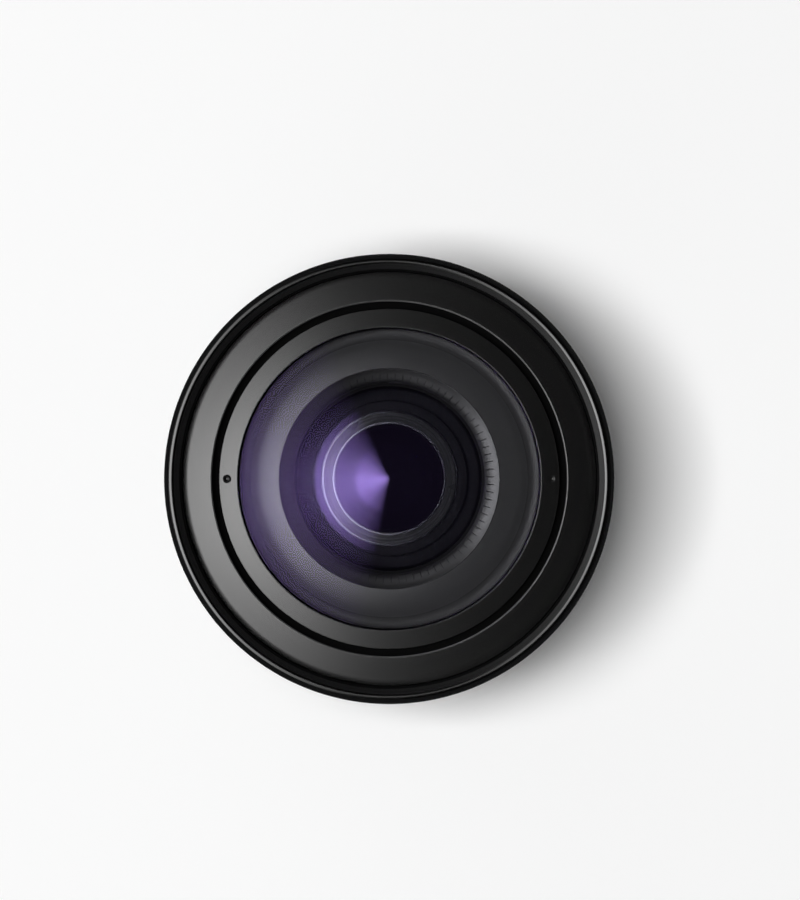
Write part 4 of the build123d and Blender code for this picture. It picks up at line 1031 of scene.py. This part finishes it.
def number_mesh(text, middle, base):
    """A number bent round a barrel's band, upright when the lens stands on its mount."""
    words = bpy.data.curves.new("number", "FONT")
    words.body = text
    words.size = number_height / cap_share
    words.align_x = "CENTER"
    words.extrude = number_depth
    words.resolution_u = 4
    piece = linked("number", words)
    bpy.context.view_layer.update()
    mesh = bpy.data.meshes.new_from_object(piece.evaluated_get(bpy.context.evaluated_depsgraph_get()))
    bpy.data.objects.remove(piece)
    work = bmesh.new()
    work.from_mesh(mesh)
    bmesh.ops.remove_doubles(work, verts=work.verts, dist=weld_distance)
    reach = max(v.co.x for v in work.verts)
    slices = math.ceil(2 * reach / number_slice)
    for s in range(1, slices):
        x = -reach + 2 * reach * s / slices
        bmesh.ops.bisect_plane(work, geom=work.verts[:] + work.edges[:] + work.faces[:], plane_co=(x, 0, 0),
                               plane_no=(1, 0, 0))
    for v in work.verts:
        angle = math.radians(middle) + v.co.x / band_radius
        v.co = point_at(band_radius - number_sunk + v.co.z, angle, base + v.co.y)
    bmesh.ops.recalc_face_normals(work, faces=work.faces)
    work.to_mesh(mesh)
    work.free()
    mesh.materials.clear()
    return mesh


def zoom_scale():
    """Plain numbers on the zoom ring's front band, with a tick for each."""
    high = top("zoom_sleeve")
    for text, turn in scale_turns:
        angle = index_angle - turn
        mesh = number_mesh(text, angle, high - number_drop)
        placed("zoom_number_" + text, mesh, "zoom_ring", "shell_black", material=scale_white)
        painted_line("zoom_tick_" + text, "zoom_ring", angle, tick_width, high - tick_low, high - tick_high)


front_ring()
filter_thread()
front_bezel()
front_retainer()
front_cell()
inner_retainer()
variator_retainer()
element("front_element", "front_lens", "front_group", "coated_glass", front_bends, finishes["coated_glass"])
element("second_element", "second_lens", "front_group", "coated_glass", second_bends, strong_coating)
element("third_element", "third_lens", "front_group", "glass", third_bends, bare_glass, bare_glass)
variator_element = element("variator_element", "variator_lens", "variator_group", "coated_glass",
                           variator_bends, faint_coating, rosy_coating)
variator_top = top("variator_lens")
# Painted reflection: the middle of the variator's front face takes the more strongly mirroring coating.
banded(variator_element.data, [(0.0, reflection_disc_radius, variator_top - 1.0, variator_top + 1.0, reflection_disc_coating)])
element("relay_element", "relay_lens", "relay_group", "glass", relay_bends, finishes["glass"])
element("focus_element", "focus_lens", "focus_group", "glass", focus_bends, finishes["glass"])
element("rear_element", "rear_lens", "body", "glass", rear_bends, finishes["glass"], finishes["glass"])
sleeve("zoom_ring_sleeve", "zoom_sleeve", "zoom_ring", scale_band, plain_band)
sleeve("focus_ring_sleeve", "focus_sleeve", "focus_ring", plain_band, plain_band)
grip("zoom_rubber", "zoom_grip", "zoom_ring")
grip("focus_rubber", "focus_grip", "focus_ring")
index_ring()
front_collar()
mount_seal()
zoom_scale()
refined("bayonet", "mount_plate", "body", "mount_metal", 0.12)
refined("bayonet_screws", "mount_screws", "body", "screw_steel", 0.06)
refined("contact_arc", "contact_block", "body", "contact_plastic", 0.15)
refined("contacts", "contact_pins", "body", "contact_gold", 0.12)
refined("rear_mask", "rear_baffle", "body", "contact_plastic")
refined("rear_barrel", "rear_shell", "body", "shell_black")
refined("switch_plate", "switch_panel", "body", "panel_black")
refined("mode_knob", "focus_mode_switch", "mode_switch", "switch_black", 0.08)
refined("limit_knob", "focus_limit_switch", "limit_switch", "switch_black", 0.08)
refined("rear_cell_ring", "rear_cell", "body", "cell_black")

for row in frame["record"]["subparts"]:
    if not frame["nodes"][row["node"]].hide_render:
        dressed(row["node"], row["material_slot"])


# Floor, lamps and camera

def floor():
    """The pale paper that the lens stands on."""
    height = cad_box[0].z
    corners = [(x * floor_half, y * floor_half, height) for x, y in ((-1, -1), (1, -1), (1, 1), (-1, 1))]
    mesh = bpy.data.meshes.new("studio_floor")
    mesh.from_pydata(corners, [], [(0, 1, 2, 3)])
    piece = linked("studio_floor", mesh)
    mesh.materials.append(finish("studio_paper", (0.97, 0.97, 0.97), 0.9, grain=30.0, grain_depth=0.0,
                                 mottle=0.0, specular=0.0))


def bar_lamp():
    """A bar-shaped softbox over the left side. Its reach sets how far the shadow spreads to the right."""
    near, far = math.tan(bar_near_tilt) * bar_distance, math.tan(bar_far_tilt) * bar_distance
    lamp = bpy.data.lights.new("bar_lamp", "AREA")
    lamp.shape = "RECTANGLE"
    lamp.size = far - near
    lamp.size_y = 2 * math.tan(bar_half_width) * bar_distance
    lamp.energy = bar_power
    piece = linked("bar_lamp", lamp)
    middle = (near + far) / 2
    piece.location = (middle * math.cos(bar_turn), middle * math.sin(bar_turn), bar_distance)
    piece.rotation_euler = (0, 0, bar_turn)
    piece.visible_glossy = False
    piece.visible_camera = False


def lit_card(name, points, faces, light):
    """A white card that lights nothing and that only mirrors see. Its light is a value, or a fade over it."""
    mesh = bpy.data.meshes.new(name)
    mesh.from_pydata(points, [], faces)
    material = bpy.data.materials.new(name)
    material.use_nodes = True
    tree = material.node_tree
    tree.nodes.clear()
    glow = wire(tree, "ShaderNodeEmission", {"Strength": light(tree) if callable(light) else light})
    wire(tree, "ShaderNodeOutputMaterial", {"Surface": glow.outputs[0]})
    mesh.materials.append(material)
    piece = linked(name, mesh)
    piece.visible_camera = False
    piece.visible_diffuse = False
    piece.visible_transmission = False
    piece.visible_shadow = False


def wedge_fade(tree):
    """The wedge card's light, which fades towards its two straight edges."""
    place = wire(tree, "ShaderNodeTexCoord").outputs["Object"]
    apart = wire(tree, "ShaderNodeVectorMath", {0: place, 1: (card_x, card_y, 0.0)}, operation="SUBTRACT")
    xyz = wire(tree, "ShaderNodeSeparateXYZ", {"Vector": apart.outputs[0]})
    away, across = (maths(tree, "MULTIPLY", xyz.outputs[axis], -1.0) for axis in "XY")
    turn = maths(tree, "ARCTAN2", across, away)
    start, end = card_start - math.pi, card_end - math.pi
    rise = between(tree, turn, start, start + card_fade_in)
    fall = between(tree, turn, end, end - card_fade_out)
    return maths(tree, "MULTIPLY", maths(tree, "MULTIPLY", rise, fall), card_strength)


def wedge_card():
    """The wedge-shaped card over the left side, whose mirror image crosses the glass."""
    reach = math.tan(card_reach) * card_height
    rim = [card_start + (card_end - card_start) * s / card_steps for s in range(card_steps + 1)]
    points = [(card_x, card_y, card_height)]
    points += [(card_x + reach * math.cos(a), card_y + reach * math.sin(a), card_height) for a in rim]
    lit_card("wedge_card", points, [(0, s + 2, s + 1) for s in range(card_steps)], wedge_fade)


def side_card():
    """The upright card to the left, which lights up the slopes that face it."""
    x, y = -side_distance, side_half_width
    points = [(x, -y, side_low), (x, y, side_low), (x, y, side_high), (x, -y, side_high)]
    lit_card("side_card", points, [(0, 1, 2, 3)], side_strength)


def sky():
    """A studio that is pale at the horizon, paler at its two left corners, and dark overhead."""
    world = bpy.data.worlds.new("studio")
    bpy.context.scene.world = world
    world.use_nodes = True
    tree = world.node_tree
    tree.nodes.clear()
    way = wire(tree, "ShaderNodeTexCoord").outputs["Generated"]
    parts = wire(tree, "ShaderNodeSeparateXYZ", {"Vector": way}).outputs
    fall = {"Value": parts["Z"], "From Max": sky_dark_height, "To Min": 1.0, "To Max": 0.0}
    level = wire(tree, "ShaderNodeMapRange", fall).outputs["Result"]
    sides = maths(tree, "MULTIPLY", parts["Y"], parts["Y"])
    left = between(tree, parts["X"], glow_right, glow_left)
    band = maths(tree, "MULTIPLY", maths(tree, "MULTIPLY", sides, level), left)
    plain = spread(tree, level, sky_zenith, sky_horizon)
    glow = maths(tree, "MULTIPLY_ADD", band, side_glow, plain)
    background = wire(tree, "ShaderNodeBackground", {"Strength": glow})
    wire(tree, "ShaderNodeOutputWorld", {"Surface": background.outputs[0]})


def camera():
    """The camera looks straight down, with the lens where the photograph has it."""
    data = bpy.data.cameras.new("camera")
    piece = linked("camera", data)
    scale = rim_radius / rim_pixels
    view_height = photo_height * scale
    data.sensor_width = camera_sensor
    data.lens = camera_sensor * camera_distance / view_height
    data.clip_end = camera_reach
    x = (photo_width / 2 - centre_x) * scale
    y = (centre_y - photo_height / 2) * scale
    piece.location = Vector((x, y, rim_top + camera_distance)) * MM
    bpy.context.scene.camera = piece


floor()
bar_lamp()
wedge_card()
side_card()
sky()
camera()
bpy.context.scene.view_settings.view_transform = "Standard"
bpy.context.scene.cycles.transparent_max_bounces = glass_layers
